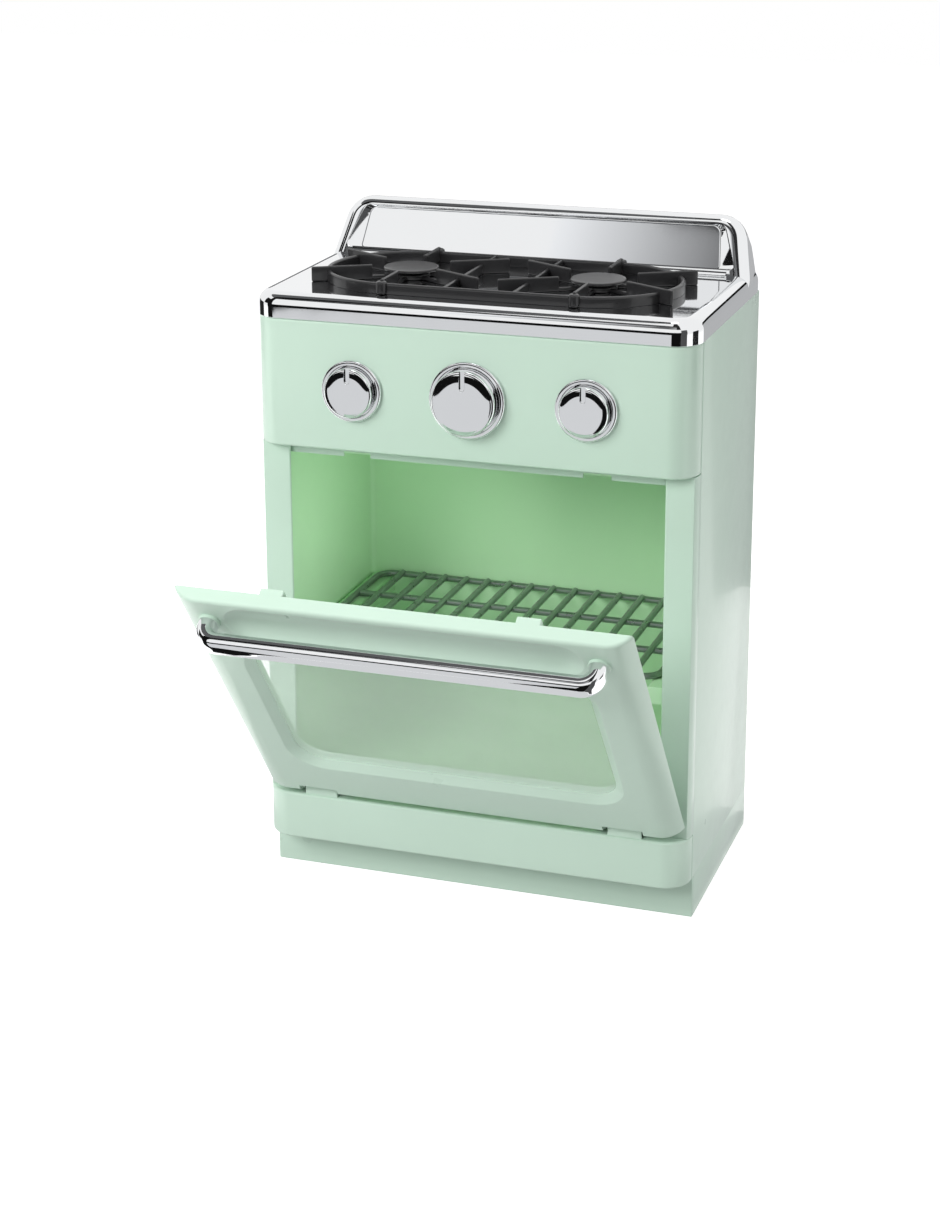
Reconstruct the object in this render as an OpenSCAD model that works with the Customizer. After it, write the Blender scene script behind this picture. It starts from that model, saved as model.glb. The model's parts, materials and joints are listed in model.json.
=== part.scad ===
// Toy oven: a play range with a tilting door, a sliding wire rack and three turning knobs.
// The origin lies on the floor under the middle of the cabinet; the front faces -Y.
// Pieces are written from the front plane (y = 0) backwards and moved to the origin at the end.

/* [Cabinet] */
// Width over the side panels
body_w = 260; // [240:1:320]
// Depth from the front plane to the rear panel
body_d = 158; // [150:1:200]
// Radius of the two upright front corners
corner_r = 16; // [12:1:20]
// Thickness of the moulded panels
wall = 2.4; // [2:0.1:3]
// Radius of the upper and lower edges of the front mouldings
soft_edge = 1.6; // [0.6:0.1:1.9]
// How far the front mouldings reach behind the round corners
wrap_past = 1.7; // [1:0.1:6]
// Thickness of the rear panel
rear_t = 2.8; // [2.4:0.1:4]
// Height of the recessed plinth
base_h = 25; // [16:1:40]
// Setback of the plinth behind the front plane
toe_setback = 20; // [18:1:30]
// Height of the fixed strip below the door
lower_h = 29; // [20:1:45]
// Height of the door opening
opening_h = 216; // [180:1:260]
// Height of the control panel
panel_h = 75; // [60:1:100]

/* [Oven cavity] */
// Width of the faces beside the door
jamb_w = 18; // [16:0.5:26]
// Setback of the faces beside the door
jamb_setback = 9; // [9:0.5:12]
// How far the cavity reaches behind each of those faces
cavity_side = 5.5; // [2:0.1:6]
// Thickness of the cavity's liner
liner_wall = 2; // [1.6:0.1:2.4]
// Drop of the cavity's ceiling below the control panel
ceiling_drop = 5; // [4:0.5:8]
// Height of the rack ledges above the cavity's floor
ledge_rise = 87.5; // [60:0.5:130]
// Height of a rack ledge
ledge_h = 10.5; // [6:0.5:16]
// Width of a rack ledge
ledge_w = 15.5; // [13:0.5:22]
// Radius of a ledge's upper edge
ledge_edge = 2.5; // [1:0.5:4]

/* [Door] */
// How far the door is open
door_angle = 37.5; // [0:0.5:55]
// Thickness of the door
door_t = 8.7; // [8.4:0.1:8.8]
// Radius of the door's upper and lower edges
door_edge = 2; // [1:0.1:2.1]
// Gap between the door's lower edge and the sill
door_foot_gap = 8.5; // [8:0.1:10]
// Gap between the door's upper edge and the control panel
door_head_gap = 6; // [5:0.5:12]
// Width of the window at the door's face
window_w = 204; // [170:1:208]
// Height of the window at the door's face
window_h = 128; // [90:1:130]
// Height of the window's lower lip above the door's lower edge
window_rise = 31; // [28:0.5:36]
// Corner radius of the window
window_r = 22; // [12:1:30]
// Width of the sloping lip round the window
lip_w = 5.5; // [3:0.5:7]
// Depth of the sloping lip, which is also where the pane sits
lip_d = 4; // [3.6:0.1:4.4]
// Thickness of the pane
pane_t = 2; // [1.6:0.1:2.4]
// Length of the scooped finger hollow
scoop_w = 202; // [160:1:206]
// Height of the scooped finger hollow
scoop_h = 29; // [20:1:32]
// Depth of the scooped finger hollow
scoop_d = 4.6; // [3:0.1:5]

/* [Hinge] */
// Radius of the steel hinge pins
pin_r = 2; // [1.6:0.1:2.4]
// Height of the hinge axis above the sill
hinge_rise = 4.2; // [4.2:0.1:4.6]
// Setback of the hinge axis behind the front plane
hinge_setback = 8.2; // [8:0.1:8.6]
// Outer radius of a knuckle
knuckle_r = 7; // [6:0.1:7.2]
// Length of a knuckle
knuckle_w = 20.3; // [12:0.1:26]
// Distance from the cabinet's side to the middle of a knuckle
knuckle_inset = 36.4; // [36:0.1:46]

/* [Handle] */
// Distance from the door's side to the middle of the handle's end
handle_inset = 20.5; // [18:0.5:28]
// Height of the handle's bar
handle_h = 13; // [9:0.5:16]
// Depth of the handle's bar
handle_t = 9.5; // [8:0.5:12]
// Distance from the door's face to the middle of the bar
handle_reach = 13.7; // [13:0.1:20]
// Drop of the handle below the door's upper edge
handle_drop = 18.5; // [16:0.5:22]

/* [Knobs] */
// Distance between neighbouring knobs
knob_pitch = 69; // [60:1:84]
// Height of the knobs above the control panel's lower edge
knob_rise = 36; // [28:0.5:44]
// Diameter of the two outer knobs
small_knob_d = 28.7; // [22:0.1:32]
// Diameter of the middle knob
large_knob_d = 37.4; // [32:0.1:42]
// How far the outer knobs stand out
small_knob_h = 8.5; // [7:0.1:14]
// How far the middle knob stands out
large_knob_h = 10.5; // [8:0.1:16]
// Width of the bright ring round each knob
bezel_w = 3.6; // [2:0.1:6]
// Radius of the knob shafts
shaft_r = 3; // [2:0.1:4]

/* [Cooktop] */
// How far the cooktop overhangs the panels
overhang = 0.5; // [0:0.1:2]
// Height of the straight skirt
skirt_h = 6.7; // [4:0.1:12]
// Radius of the cooktop's rounded edge and of the backguard's rim
edge_r = 7.6; // [5:0.1:9]
// Lean of the backguard from the upright
guard_lean = 28; // [15:1:35]
// Distance from the rear to the foot of the backguard's face
guard_depth = 34; // [30:1:44]
// Height of the backguard measured up its face
guard_h = 39.2; // [30:0.1:50]
// Radius of the backguard's upper corners
guard_corner_r = 17; // [12:1:20]
// Depth of the backguard's recess
recess_d = 3; // [1:0.1:4]

/* [Grate and burners] */
// Setback of the grate behind the front plane
grate_front = 16; // [12:0.5:20]
// Gap between the grate and the backguard's foot
grate_back = 9; // [9:0.5:14]
// Gap between the grate and the side of the cabinet
grate_side = 24; // [20:0.5:30]
// Width of the grate's rim
rim_w = 3; // [2:0.1:4]
// Height of the grate's rim
rim_h = 6.3; // [5:0.1:8]
// Height of the blades that carry the pots
blade_h = 8.7; // [8:0.1:12]
// Thickness of a blade
blade_t = 2; // [1.4:0.1:3]
// Distance from the burner to the inner end of a blade
blade_in = 23; // [20:0.5:28]
// How far a blade reaches past the rim
blade_over = 9; // [4:0.5:9]
// Distance between the two cross bars
cross_pitch = 41; // [34:1:48]
// Diameter of a burner cap
cap_d = 32; // [26:0.5:38]
// Thickness of a burner cap
cap_t = 1.8; // [1.2:0.1:3]
// Height of a burner cap's upper face above the cooktop
cap_h = 6.7; // [6:0.1:9]

/* [Rack] */
// Play of the rack in the door opening on each side
rack_play = 2; // [1.8:0.1:4]
// Sideways place of the loose rack
rack_shift = -1.5; // [-1.5:0.5:1.5]
// Diameter of the wires
wire_d = 4; // [3:0.1:5]
// Setback of the rack's front wire
rack_front = 21; // [18:0.5:40]
// Number of wires that run from front to back between the side wires
rack_wires = 14; // [8:1:18]
// Number of bars below them
rack_bars = 2; // [1:1:4]
// Radius of the rack's corners
rack_corner_r = 11; // [6:1:14]

/* [Fits] */
// Radial clearance of a shaft or pin that turns in its hole
run_fit = 0.06; // [0.02:0.01:0.1]
// Gap between pieces that move past each other
slide_gap = 0.3; // [0.2:0.05:0.6]
// Radius of the screws
screw_r = 1.3; // [1:0.1:1.5]
// Radius of the screw heads
head_r = 2.6; // [2.2:0.1:2.8]
// Height of the screw heads
head_h = 1.4; // [1:0.1:1.6]

/* [Hidden] */
$fn = 64;
form_fn = 32;

mint = [0.76, 0.89, 0.81];
cavity_green = [0.55, 0.76, 0.56];
chrome = [0.86, 0.87, 0.88];
black = [0.16, 0.16, 0.17];
clear = [0.83, 0.91, 0.86, 0.4];
steel = [0.62, 0.64, 0.66];
wire_green = [0.35, 0.45, 0.38];

// Cabinet heights and planes
half_w = body_w / 2;
inner_half = half_w - wall;
opening_w = body_w - 2 * jamb_w;
wrap_d = corner_r + wrap_past;
sill_z = base_h + lower_h;
panel_z = sill_z + opening_h;
top_z = panel_z + panel_h;
rear_y = body_d - rear_t;
bore_clear = 0.2;
screw_post_r = 3.6;
post_sunk = 0.3;
post_x = inner_half - screw_post_r + post_sunk;
post_end = 1.5;
tongue_len = 14;
tongue_gap = 2;
rail_gap = 2;
rear_rib_inset = 14;
flange_inset = 10;
overlap = 1;

// Cavity
cavity_w = opening_w + 2 * cavity_side;
floor_z = sill_z + liner_wall;
ceiling_z = panel_z - ceiling_drop;
liner_half = cavity_w / 2 + liner_wall;
liner_front = jamb_setback + wall;
liner_back = rear_y - liner_wall;
floor_front = hinge_setback + knuckle_r + 0.8;
ledge_z = floor_z + ledge_rise;
header_y = 13;
header_lip = 2.1;
header_notch_top = 1.2;

// Door, in its closed place
door_z = sill_z + door_foot_gap;
door_top = panel_z - door_head_gap;
door_h = door_top - door_z;
hinge_z = sill_z + hinge_rise;
knuckle_x = half_w - knuckle_inset;
window_z = door_z + window_rise;
pane_lap = 2.5;
pane_gap = 0.15;
door_liner_inset = 8;
door_liner_r = 5;
door_liner_half = half_w - door_liner_inset;
door_liner_z = door_z + door_liner_inset;
door_liner_top = door_top - door_liner_inset;
door_screw_x = door_liner_half - 9;
door_skin = 2.2;
pocket_rib = 2;
pocket_post = 7;
tab_x = 71.8;
tab_w = 13.6;
tab_d = 4.4;
tab_h = 6;
tab_clear = 1.5;
notch_gap = 1.9;
notch_w = knuckle_w + 2 * notch_gap;
notch_z = hinge_z + knuckle_r + 3.3;
ear_w = 4.4;
ear_r = hinge_rise - 0.4;

// Handle
handle_x = half_w - handle_inset;
handle_z = door_top - handle_drop;
handle_bend = 8;
boss_r = 6.2;
boss_h = 2;
handle_screw_in = 6;

// Knobs
knob_z = panel_z + knob_rise;
well_gap = 0.65;
bezel_t = 2.6;
bezel_web = 1;
spigot_r = shaft_r + 3;
spigot_len = wall + 2;
clip_t = 1.5;
clip_r = spigot_r + 1;
shaft_past = 1.5;
knob_edge = 1.2;
pointer_w = 3;
pointer_d = 0.8;
pointer_start = 0.4;
bezel_edge = 0.4;

// Cooktop
top_half = half_w + overhang;
edge_z = top_z + skirt_h;
hob_z = edge_z + edge_r;
top_back = body_d + overhang;
guard_y = body_d - guard_depth;
guard_slope = 11;
guard_back = 5.3;
guard_back_low = 4;
guard_back_high = 4;
lip_r = 7;
lip_inset = 6;
lip_y = guard_y - lip_r * tan(45 - guard_lean / 2);
cooktop_wall = 2.2;
top_post_r = 3.4;
top_post_x = inner_half - 7;
top_screw_grip = (skirt_h + edge_r) * 0.56;
recess_low = 4;
recess_end_low = 8.5;
recess_end_high = 12.5;
recess_ramp_low = 8.5;
recess_ramp_high = 2;
recess_r_low = 2.4;
recess_r_high = 6;

// Rack
rack_gap = slide_gap;
wire_r = wire_d / 2;
rack_z = ledge_z + rack_gap + wire_r;
rack_back = liner_back - wire_r - 1.2;
rack_w = opening_w - 2 * rack_play - wire_d;
wire_lift = wire_d / 4;

// Pieces are drawn from the front plane backwards and moved to the origin here
module from_front() {
    translate([0, -body_d / 2, 0]) children();
}

// The same place mirrored to the other side
module both_sides() {
    children();
    mirror([1, 0, 0]) children();
}

// Turns the closed door about its hinge axis
module hung() {
    translate([0, hinge_setback, hinge_z])
        rotate([door_angle, 0, 0])
            translate([0, -hinge_setback, -hinge_z]) children();
}

// Cabinet seen from above: round front corners, square at the back
module plan_outline(w, d, r) {
    intersection() {
        translate([-w / 2, 0]) square([w, d]);
        union() {
            translate([-w / 2, r]) square([w, d]);
            translate([r - w / 2, 0]) square([w - 2 * r, d]);
            for (side = [-1, 1])
                translate([side * (w / 2 - r), r]) circle(r);
        }
    }
}

// Rectangle with round corners, centred on the origin
module round_rect(w, h, r) {
    square([w - 2 * r, h], center = true);
    square([w, h - 2 * r], center = true);
    for (x = [-1, 1], y = [-1, 1])
        translate([x * (w / 2 - r), y * (h / 2 - r)]) circle(r);
}

// Upright slab with the outline of its children, from one depth to another
module slab(y_from, y_to) {
    translate([0, y_to, 0]) rotate([90, 0, 0]) linear_extrude(y_to - y_from) children();
}

// Cylinder along Y between two depths
module rod_y(x, z, r, y_from, y_to) {
    translate([x, y_from, z]) rotate([-90, 0, 0]) cylinder(r = r, h = y_to - y_from);
}

// Cylinder along X between two places
module rod_x(y, z, r, x_from, x_to) {
    translate([x_from, y, z]) rotate([0, 90, 0]) cylinder(r = r, h = x_to - x_from);
}

// Screw along Y, its head at y_head and its tip towards the front
module screw_y(x, z, y_head, length) {
    rod_y(x, z, head_r, y_head, y_head + head_h);
    rod_y(x, z, screw_r, y_head - length, y_head);
}

// Screw along Z, its head below z_head and its tip upwards
module screw_z(x, y, z_head, length) {
    translate([x, y, z_head - head_h]) cylinder(r = head_r, h = head_h);
    translate([x, y, z_head]) cylinder(r = screw_r, h = length);
}

// Plan outline carried up by h; the edge along its front and sides is rounded at the given heights
module soft_slab(w, d, r, h, edge, edge_zs) {
    low = edge_zs[0] == edge ? edge : 0;
    translate([0, 0, low]) linear_extrude(h - edge - low) plan_outline(w, d, r);
    translate([0, edge, 0]) linear_extrude(h) plan_outline(w - 2 * edge, d - edge, r - edge);
    for (z = edge_zs) {
        rod_x(edge, z, edge, r - w / 2, w / 2 - r);
        both_sides() {
            rod_y(w / 2 - edge, z, edge, r, d);
            translate([w / 2 - r, r, z]) rotate([0, 0, -90])
                rotate_extrude(angle = 90) translate([r - edge, 0]) circle(edge);
        }
    }
}

// Front moulding with round corners, closed above and below and open at the back
module front_moulding(z, h) {
    translate([0, 0, z]) difference() {
        soft_slab(body_w, wrap_d, corner_r, h, soft_edge, [soft_edge, h - soft_edge]);
        translate([0, wall, wall])
            linear_extrude(h - 2 * wall)
                plan_outline(2 * inner_half, wrap_d, corner_r - wall);
    }
}

base_screw_ys = [toe_setback + 24, rear_y - 20];
base_pad_t = head_h + 2;
base_pad_r = screw_post_r + 1.4;
base_post_h = 14;

module base_tray() {
    color(mint) from_front() difference() {
        union() {
            translate([-inner_half, toe_setback + wall, 0])
                cube([2 * inner_half, rear_y - toe_setback - wall, wall]);
            // plinth face, which wraps the front edges of the side panels
            translate([-half_w, toe_setback, 0]) cube([body_w, wall, base_h]);
            // rear rib
            translate([rear_rib_inset - inner_half, rear_y - wall, 0])
                cube([2 * (inner_half - rear_rib_inset), wall, base_h]);
            both_sides() for (y = base_screw_ys)
                translate([post_x, y, 0])
                    intersection() {
                        cylinder(r = base_pad_r, h = base_pad_t);
                        translate([-base_pad_r, -base_pad_r, 0])
                            cube([base_pad_r + screw_post_r - post_sunk, 2 * base_pad_r, base_pad_t]);
                    }
        }
        both_sides() for (y = base_screw_ys) {
            translate([post_x, y, -1]) cylinder(r = screw_r + bore_clear, h = base_pad_t + 2);
            translate([post_x, y, -1]) cylinder(r = head_r + bore_clear, h = head_h + 1.1);
        }
    }
}

module base_screws() {
    color(steel) from_front() both_sides() for (y = base_screw_ys)
        screw_z(post_x, y, head_h + 0.1, base_post_h - 2);
}

rear_screw_zs = [base_h + 14, (sill_z + panel_z) / 2, panel_z + panel_h / 2];
rear_post_len = 12;
top_screw_ys = [wrap_d + 12, body_d - guard_depth - 12];
top_tab_w = 14;
top_tab_d = 12;

// Right-hand side panel; the left one mirrors it
module side_panel() {
    difference() {
        union() {
            // outer sheet, set back at the plinth and at the front mouldings
            translate([inner_half, toe_setback + wall, 0])
                cube([wall, body_d - toe_setback - wall, base_h]);
            translate([inner_half, wrap_d, base_h])
                cube([wall, body_d - wrap_d, top_z - base_h]);
            // face beside the door with the rest of the round corner
            translate([0, 0, sill_z]) linear_extrude(opening_h) difference() {
                intersection() {
                    plan_outline(body_w, wrap_d + 1, corner_r);
                    translate([opening_w / 2, jamb_setback]) square([half_w, wrap_d]);
                }
                translate([0, liner_front])
                    square([half_w - wall, wrap_d]);
            }
            // tongues behind the two front mouldings
            for (row = [[base_h, lower_h], [panel_z, panel_h]])
                translate([inner_half - wall, corner_r, row[0] + wall + tongue_gap])
                    cube([wall, tongue_len, row[1] - 2 * (wall + tongue_gap)]);
            // rib that carries the liner
            translate([opening_w / 2, wrap_d + rail_gap, sill_z - wall])
                cube([inner_half - opening_w / 2 + wall / 2, rear_y - wrap_d - 2 * rail_gap, wall]);
            // posts for the rear, base and cooktop screws
            for (z = rear_screw_zs)
                rod_y(post_x, z, screw_post_r, rear_y - rear_post_len, rear_y);
            for (y = base_screw_ys)
                translate([post_x, y, base_pad_t]) cylinder(r = screw_post_r, h = base_post_h);
            for (y = top_screw_ys)
                translate([inner_half - top_tab_w, y - top_tab_d / 2, top_z - wall])
                    cube([top_tab_w + wall / 2, top_tab_d, wall]);
        }
        for (z = rear_screw_zs)
            rod_y(post_x, z, screw_r, rear_y - rear_post_len + post_end, rear_y + 1);
        for (y = base_screw_ys)
            translate([post_x, y, base_pad_t - 1]) cylinder(r = screw_r, h = base_post_h - 1);
        for (y = top_screw_ys)
            translate([top_post_x, y, top_z - wall - 1])
                cylinder(r = screw_r + bore_clear, h = wall + 2);
    }
}

module side_panel_right() {
    color(mint) from_front() side_panel();
}

module side_panel_left() {
    color(mint) from_front() mirror([1, 0, 0]) side_panel();
}

module rear_panel() {
    color(mint) from_front() difference() {
        translate([-inner_half, rear_y, 0]) cube([2 * inner_half, rear_t, top_z]);
        both_sides() for (z = rear_screw_zs) {
            rod_y(post_x, z, screw_r + bore_clear, rear_y - 1, body_d + 1);
            rod_y(post_x, z, head_r + bore_clear, body_d - head_h - 0.1, body_d + 1);
        }
    }
}

module rear_screws() {
    color(steel) from_front() both_sides() for (z = rear_screw_zs)
        screw_y(post_x, z, body_d - head_h - 0.1, rear_t - head_h + rear_post_len - 4);
}

module lower_panel() {
    color(mint) from_front() difference() {
        union() {
            front_moulding(base_h, lower_h);
            // foot flange that rests on the plinth
            translate([flange_inset - inner_half, wrap_d - overlap, base_h])
                cube([2 * (inner_half - flange_inset), toe_setback + wall - wrap_d + overlap, wall]);
            // knuckles of the door's hinge
            both_sides() {
                rod_x(hinge_setback, hinge_z, knuckle_r,
                      knuckle_x - knuckle_w / 2, knuckle_x + knuckle_w / 2);
                translate([knuckle_x - knuckle_w / 2, hinge_setback - knuckle_r, sill_z - wall])
                    cube([knuckle_w, 2 * knuckle_r, hinge_rise + wall]);
            }
        }
        both_sides()
            rod_x(hinge_setback, hinge_z, pin_r, knuckle_x - knuckle_w, knuckle_x + knuckle_w);
    }
}

module hinge_pins() {
    color(steel) from_front() both_sides()
        rod_x(hinge_setback, hinge_z, pin_r, knuckle_x - notch_w / 2 - ear_w + 0.4,
              knuckle_x + notch_w / 2 + ear_w - 0.4);
}

module control_panel() {
    color(mint) from_front() difference() {
        front_moulding(panel_z, panel_h);
        for (i = [-1:1])
            rod_y(i * knob_pitch, knob_z, spigot_r + 0.05, -1, wall + 1);
    }
}

// Ledge that carries the rack, with a rounded upper edge
module ledge() {
    ledge_x = cavity_w / 2 - ledge_w;
    run = liner_back - liner_front;
    translate([ledge_x, liner_front + 1, ledge_z - ledge_h]) {
        cube([ledge_w + 0.5, run, ledge_h - ledge_edge]);
        translate([ledge_edge, 0, 0]) cube([ledge_w + 0.5 - ledge_edge, run, ledge_h]);
    }
    rod_y(ledge_x + ledge_edge, ledge_z - ledge_edge, ledge_edge, liner_front + 1, liner_front + 1 + run);
}

// Green cavity with the rack ledges and the notched strip above the door opening
module oven_liner() {
    color(cavity_green) from_front() difference() {
        union() {
            // floor, ceiling, back and sides
            translate([-liner_half, floor_front, sill_z])
                cube([2 * liner_half, rear_y - floor_front, liner_wall]);
            translate([-liner_half, header_y, ceiling_z])
                cube([2 * liner_half, rear_y - header_y, liner_wall]);
            translate([-liner_half, liner_back, sill_z])
                cube([2 * liner_half, liner_wall, ceiling_z + liner_wall - sill_z]);
            both_sides() {
                translate([cavity_w / 2, liner_front, sill_z + wall])
                    cube([liner_wall, rear_y - liner_front, ceiling_z + liner_wall - sill_z - wall]);
                translate([cavity_w / 2, floor_front, sill_z])
                    cube([liner_wall, rear_y - floor_front, wall + 1]);
                ledge();
            }
            // strip above the opening
            translate([-liner_half, header_y, ceiling_z - header_lip])
                cube([2 * liner_half, liner_wall, header_lip + ceiling_drop]);
        }
        // notches for the door's two latch tabs
        both_sides()
            translate([tab_x - tab_w / 2 - tab_clear, header_y - 1, ceiling_z - header_lip - 1])
                cube([tab_w + 2 * tab_clear, liner_wall + 2, header_lip + 1 + header_notch_top]);
    }
}

// Ring of a round bar, flat in its own XY plane
module bar_ring(ring_r, bar_r) {
    rotate_extrude($fn = form_fn) translate([ring_r, 0]) circle(bar_r, $fn = form_fn);
}

// Hob with its rounded upper edge, drawn in by the given amount on all sides
module hob_form(inset) {
    translate([0, inset - overhang, top_z - inset])
        soft_slab(2 * (top_half - inset), top_back + overhang - 2 * inset, corner_r - inset, hob_z - top_z,
                  edge_r - inset, [skirt_h + inset]);
}

// Frame of the backguard's face: X across, Z up the leaning face, Y into the guard
module on_guard() {
    translate([0, guard_y, hob_z]) rotate([-guard_lean, 0, 0]) children();
}

// Half width of the backguard at a height up its face
function guard_half(up) = top_half - up * tan(guard_slope);

// Backguard with its rounded rim, drawn in by the given amount
module guard_form(inset) {
    corner_up = guard_h - guard_corner_r;
    corner_x = guard_half(corner_up) - guard_corner_r / cos(guard_slope);
    hull() {
        both_sides() {
            on_guard() translate([corner_x, edge_r, corner_up]) rotate([90, 0, 0])
                bar_ring(guard_corner_r - edge_r, edge_r - inset);
            translate([top_half - edge_r, guard_y + edge_r / 2, edge_z])
                sphere(edge_r - inset, $fn = form_fn);
        }
        translate([inset - top_half, top_back - 1 - inset, top_z + inset])
            cube([2 * (top_half - inset), 1, guard_back_low]);
        translate([inset - guard_half(0), top_back - guard_back - 1 - inset, top_z])
            cube([2 * (guard_half(0) - inset), 1, skirt_h + edge_r + guard_back_high - inset]);
    }
}

// Shallow recess in the backguard's face with ramps at its two ends
module guard_recess() {
    // height up the face, way to the corner's middle, margin at the end, ramp and corner radius
    rows = [[recess_low, 1, recess_end_low, recess_ramp_low, recess_r_low],
            [guard_h - edge_r, -1, recess_end_high, recess_ramp_high, recess_r_high]];
    on_guard() hull() both_sides() for (row = rows)
        translate([guard_half(row[0]) - row[2] - row[4], 0, row[0] + row[1] * row[4]]) {
            rotate([90, 0, 0]) cylinder(r = row[4], h = 1, $fn = form_fn);
            translate([-row[3], 0, 0]) rotate([-90, 0, 0])
                cylinder(r = row[4] - 0.4, h = recess_d, $fn = form_fn);
        }
}

// Concave lip that leads from the hob up to the backguard's face
module guard_lip() {
    half = top_half - edge_r - lip_inset;
    difference() {
        translate([-half, lip_y, hob_z - 0.5]) cube([2 * half, guard_y - lip_y + 1, lip_r / 2]);
        rod_x(lip_y, hob_z + lip_r, lip_r, -body_w, body_w);
        on_guard() translate([-body_w, 1, -guard_h]) cube([2 * body_w, guard_h, 2 * guard_h]);
    }
}

// One bright moulding: skirt, rounded edge, flat hob and leaning backguard
module cooktop() {
    color(chrome) from_front() {
        difference() {
            intersection() {
                union() {
                    hob_form(0);
                    guard_form(0);
                }
                translate([-body_w, -body_d, top_z]) cube([2 * body_w, 3 * body_d, 2 * guard_h]);
            }
            hob_form(cooktop_wall);
            intersection() {
                guard_form(cooktop_wall);
                on_guard() translate([-body_w, recess_d + cooktop_wall, -body_d])
                    cube([2 * body_w, body_d, 2 * body_d]);
            }
            guard_recess();
        }
        guard_lip();
        // posts for the screws from below
        both_sides() for (y = top_screw_ys) difference() {
            translate([top_post_x, y, top_z]) cylinder(r = top_post_r, h = hob_z - top_z - 1);
            translate([top_post_x, y, top_z - 1]) cylinder(r = screw_r, h = hob_z - top_z - 2);
        }
    }
}

module cooktop_screws() {
    color(steel) from_front() both_sides() for (y = top_screw_ys)
        screw_z(top_post_x, y, top_z - wall, wall + top_screw_grip);
}

rim_r = (guard_y - grate_back - grate_front) / 2;
burner_x = half_w - grate_side - rim_r;
burner_y = grate_front + rim_r;
blade_out = rim_r + blade_over;
hub_h = 3;
hub_r = 11;
stem_r = 8;
socket_r = 4;
foot_r = 3.2;
bar_t = 2.4;
bar_h = rim_h - 0.3;
web_h = 2.4;

// Outline of the oval rim
module rim_outline(r) {
    for (side = [-1, 1]) translate([side * burner_x, burner_y]) circle(r);
    translate([-burner_x, burner_y - r]) square([2 * burner_x, 2 * r]);
}

// Bar along the X axis with a rounded top, from one place to another
module round_bar(x_from, x_to, thick, high) {
    translate([x_from, -thick / 2, 0]) cube([x_to - x_from, thick, high - thick / 2]);
    rod_x(0, high - thick / 2, thick / 2, x_from, x_to);
}

// Oval rim with a rounded top
module grate_rim() {
    mid_r = rim_r - rim_w / 2;
    linear_extrude(rim_h - rim_w / 2) difference() {
        rim_outline(rim_r);
        rim_outline(rim_r - rim_w);
    }
    translate([0, burner_y, rim_h - rim_w / 2]) {
        both_sides() translate([burner_x, 0, 0]) rotate([0, 0, -90])
            rotate_extrude(angle = 180) translate([mid_r, 0]) circle(rim_w / 2);
        for (y = [-mid_r, mid_r])
            rod_x(y, 0, rim_w / 2, -burner_x, burner_x);
    }
}

// Grate moulded in one: oval rim, two cross bars, six blades and a hub at each burner
module grate() {
    color(black) from_front() translate([0, 0, hob_z]) difference() {
        union() {
            grate_rim();
            both_sides() {
                translate([cross_pitch / 2, burner_y, 0]) rotate([0, 0, 90])
                    round_bar(1 - rim_r, rim_r - 1, bar_t, bar_h);
                translate([burner_x, burner_y, 0]) {
                    cylinder(r = hub_r, h = hub_h);
                    for (turn = [30:60:330]) rotate([0, 0, turn]) {
                        round_bar(blade_in, turn == 90 || turn == 270 ? rim_r : blade_out, blade_t, blade_h);
                        translate([hub_r - 1, -blade_t / 2, 0]) cube([blade_in - hub_r + 2, blade_t, web_h]);
                    }
                    for (side = [-1, 1])
                        translate([0, side * rim_r, 0]) cylinder(r = foot_r, h = blade_h - 1);
                }
            }
        }
        for (side = [-1, 1])
            translate([side * burner_x, burner_y, -1]) cylinder(r = socket_r + 0.05, h = hub_h + 2);
    }
}

// Burner cap: thin disc on a flared stem with a peg in the grate's hub
module burner_cap(side) {
    color(black) from_front() translate([side * burner_x, burner_y, hob_z])
        rotate_extrude() polygon([
            [0, 0.2], [socket_r, 0.2], [socket_r, hub_h], [stem_r, hub_h],
            [stem_r + 1.5, cap_h - cap_t], [cap_d / 2 - 0.6, cap_h - cap_t],
            [cap_d / 2, cap_h - cap_t / 2], [cap_d / 2 - 0.6, cap_h], [0, cap_h]
        ]);
}

module burner_cap_left() {
    burner_cap(-1);
}

module burner_cap_right() {
    burner_cap(1);
}

function knob_d(i) = i == 0 ? large_knob_d : small_knob_d;
function knob_h(i) = i == 0 ? large_knob_h : small_knob_h;

// Turns a profile drawn as radius and distance out of the panel into a round piece at knob i
module turned_at(i) {
    from_front() translate([i * knob_pitch, 0, knob_z]) rotate([90, 0, 0]) rotate_extrude() children();
}

// Bright ring that is pressed into the panel and carries the knob's shaft
module bezel(i) {
    well_r = knob_d(i) / 2 + well_gap;
    ring_r = knob_d(i) / 2 + bezel_w;
    color(chrome) turned_at(i) {
        polygon([
            [shaft_r + run_fit, -spigot_len], [spigot_r, -spigot_len], [spigot_r, 0],
            [ring_r, 0], [ring_r, bezel_t - 1], [ring_r - bezel_edge, bezel_t - 0.3], [ring_r - 1.1, bezel_t],
            [well_r + bezel_edge, bezel_t], [well_r, bezel_t - bezel_edge], [well_r, bezel_web],
            [shaft_r + run_fit, bezel_web]
        ]);
    }
}

// Knob with a rounded edge, a shaft through its ring and a pointer sunk in its face
module knob(i) {
    r = knob_d(i) / 2;
    face = knob_h(i);
    shaft_end = -spigot_len - clip_t - shaft_past;
    back = bezel_web + slide_gap;
    color(chrome) difference() {
        turned_at(i) polygon([
            [0, shaft_end], [shaft_r, shaft_end], [shaft_r, back], [r, back],
            [r, face - knob_edge], [r - knob_edge * 0.3, face - knob_edge * 0.3],
            [r - knob_edge, face], [0, face]
        ]);
        from_front() translate([i * knob_pitch, -face - 1, knob_z + r * pointer_start]) {
            translate([-pointer_w / 2, 0, 0]) cube([pointer_w, pointer_d + 1, r]);
            rotate([-90, 0, 0]) cylinder(r = pointer_w / 2, h = pointer_d + 1);
        }
    }
}

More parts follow.
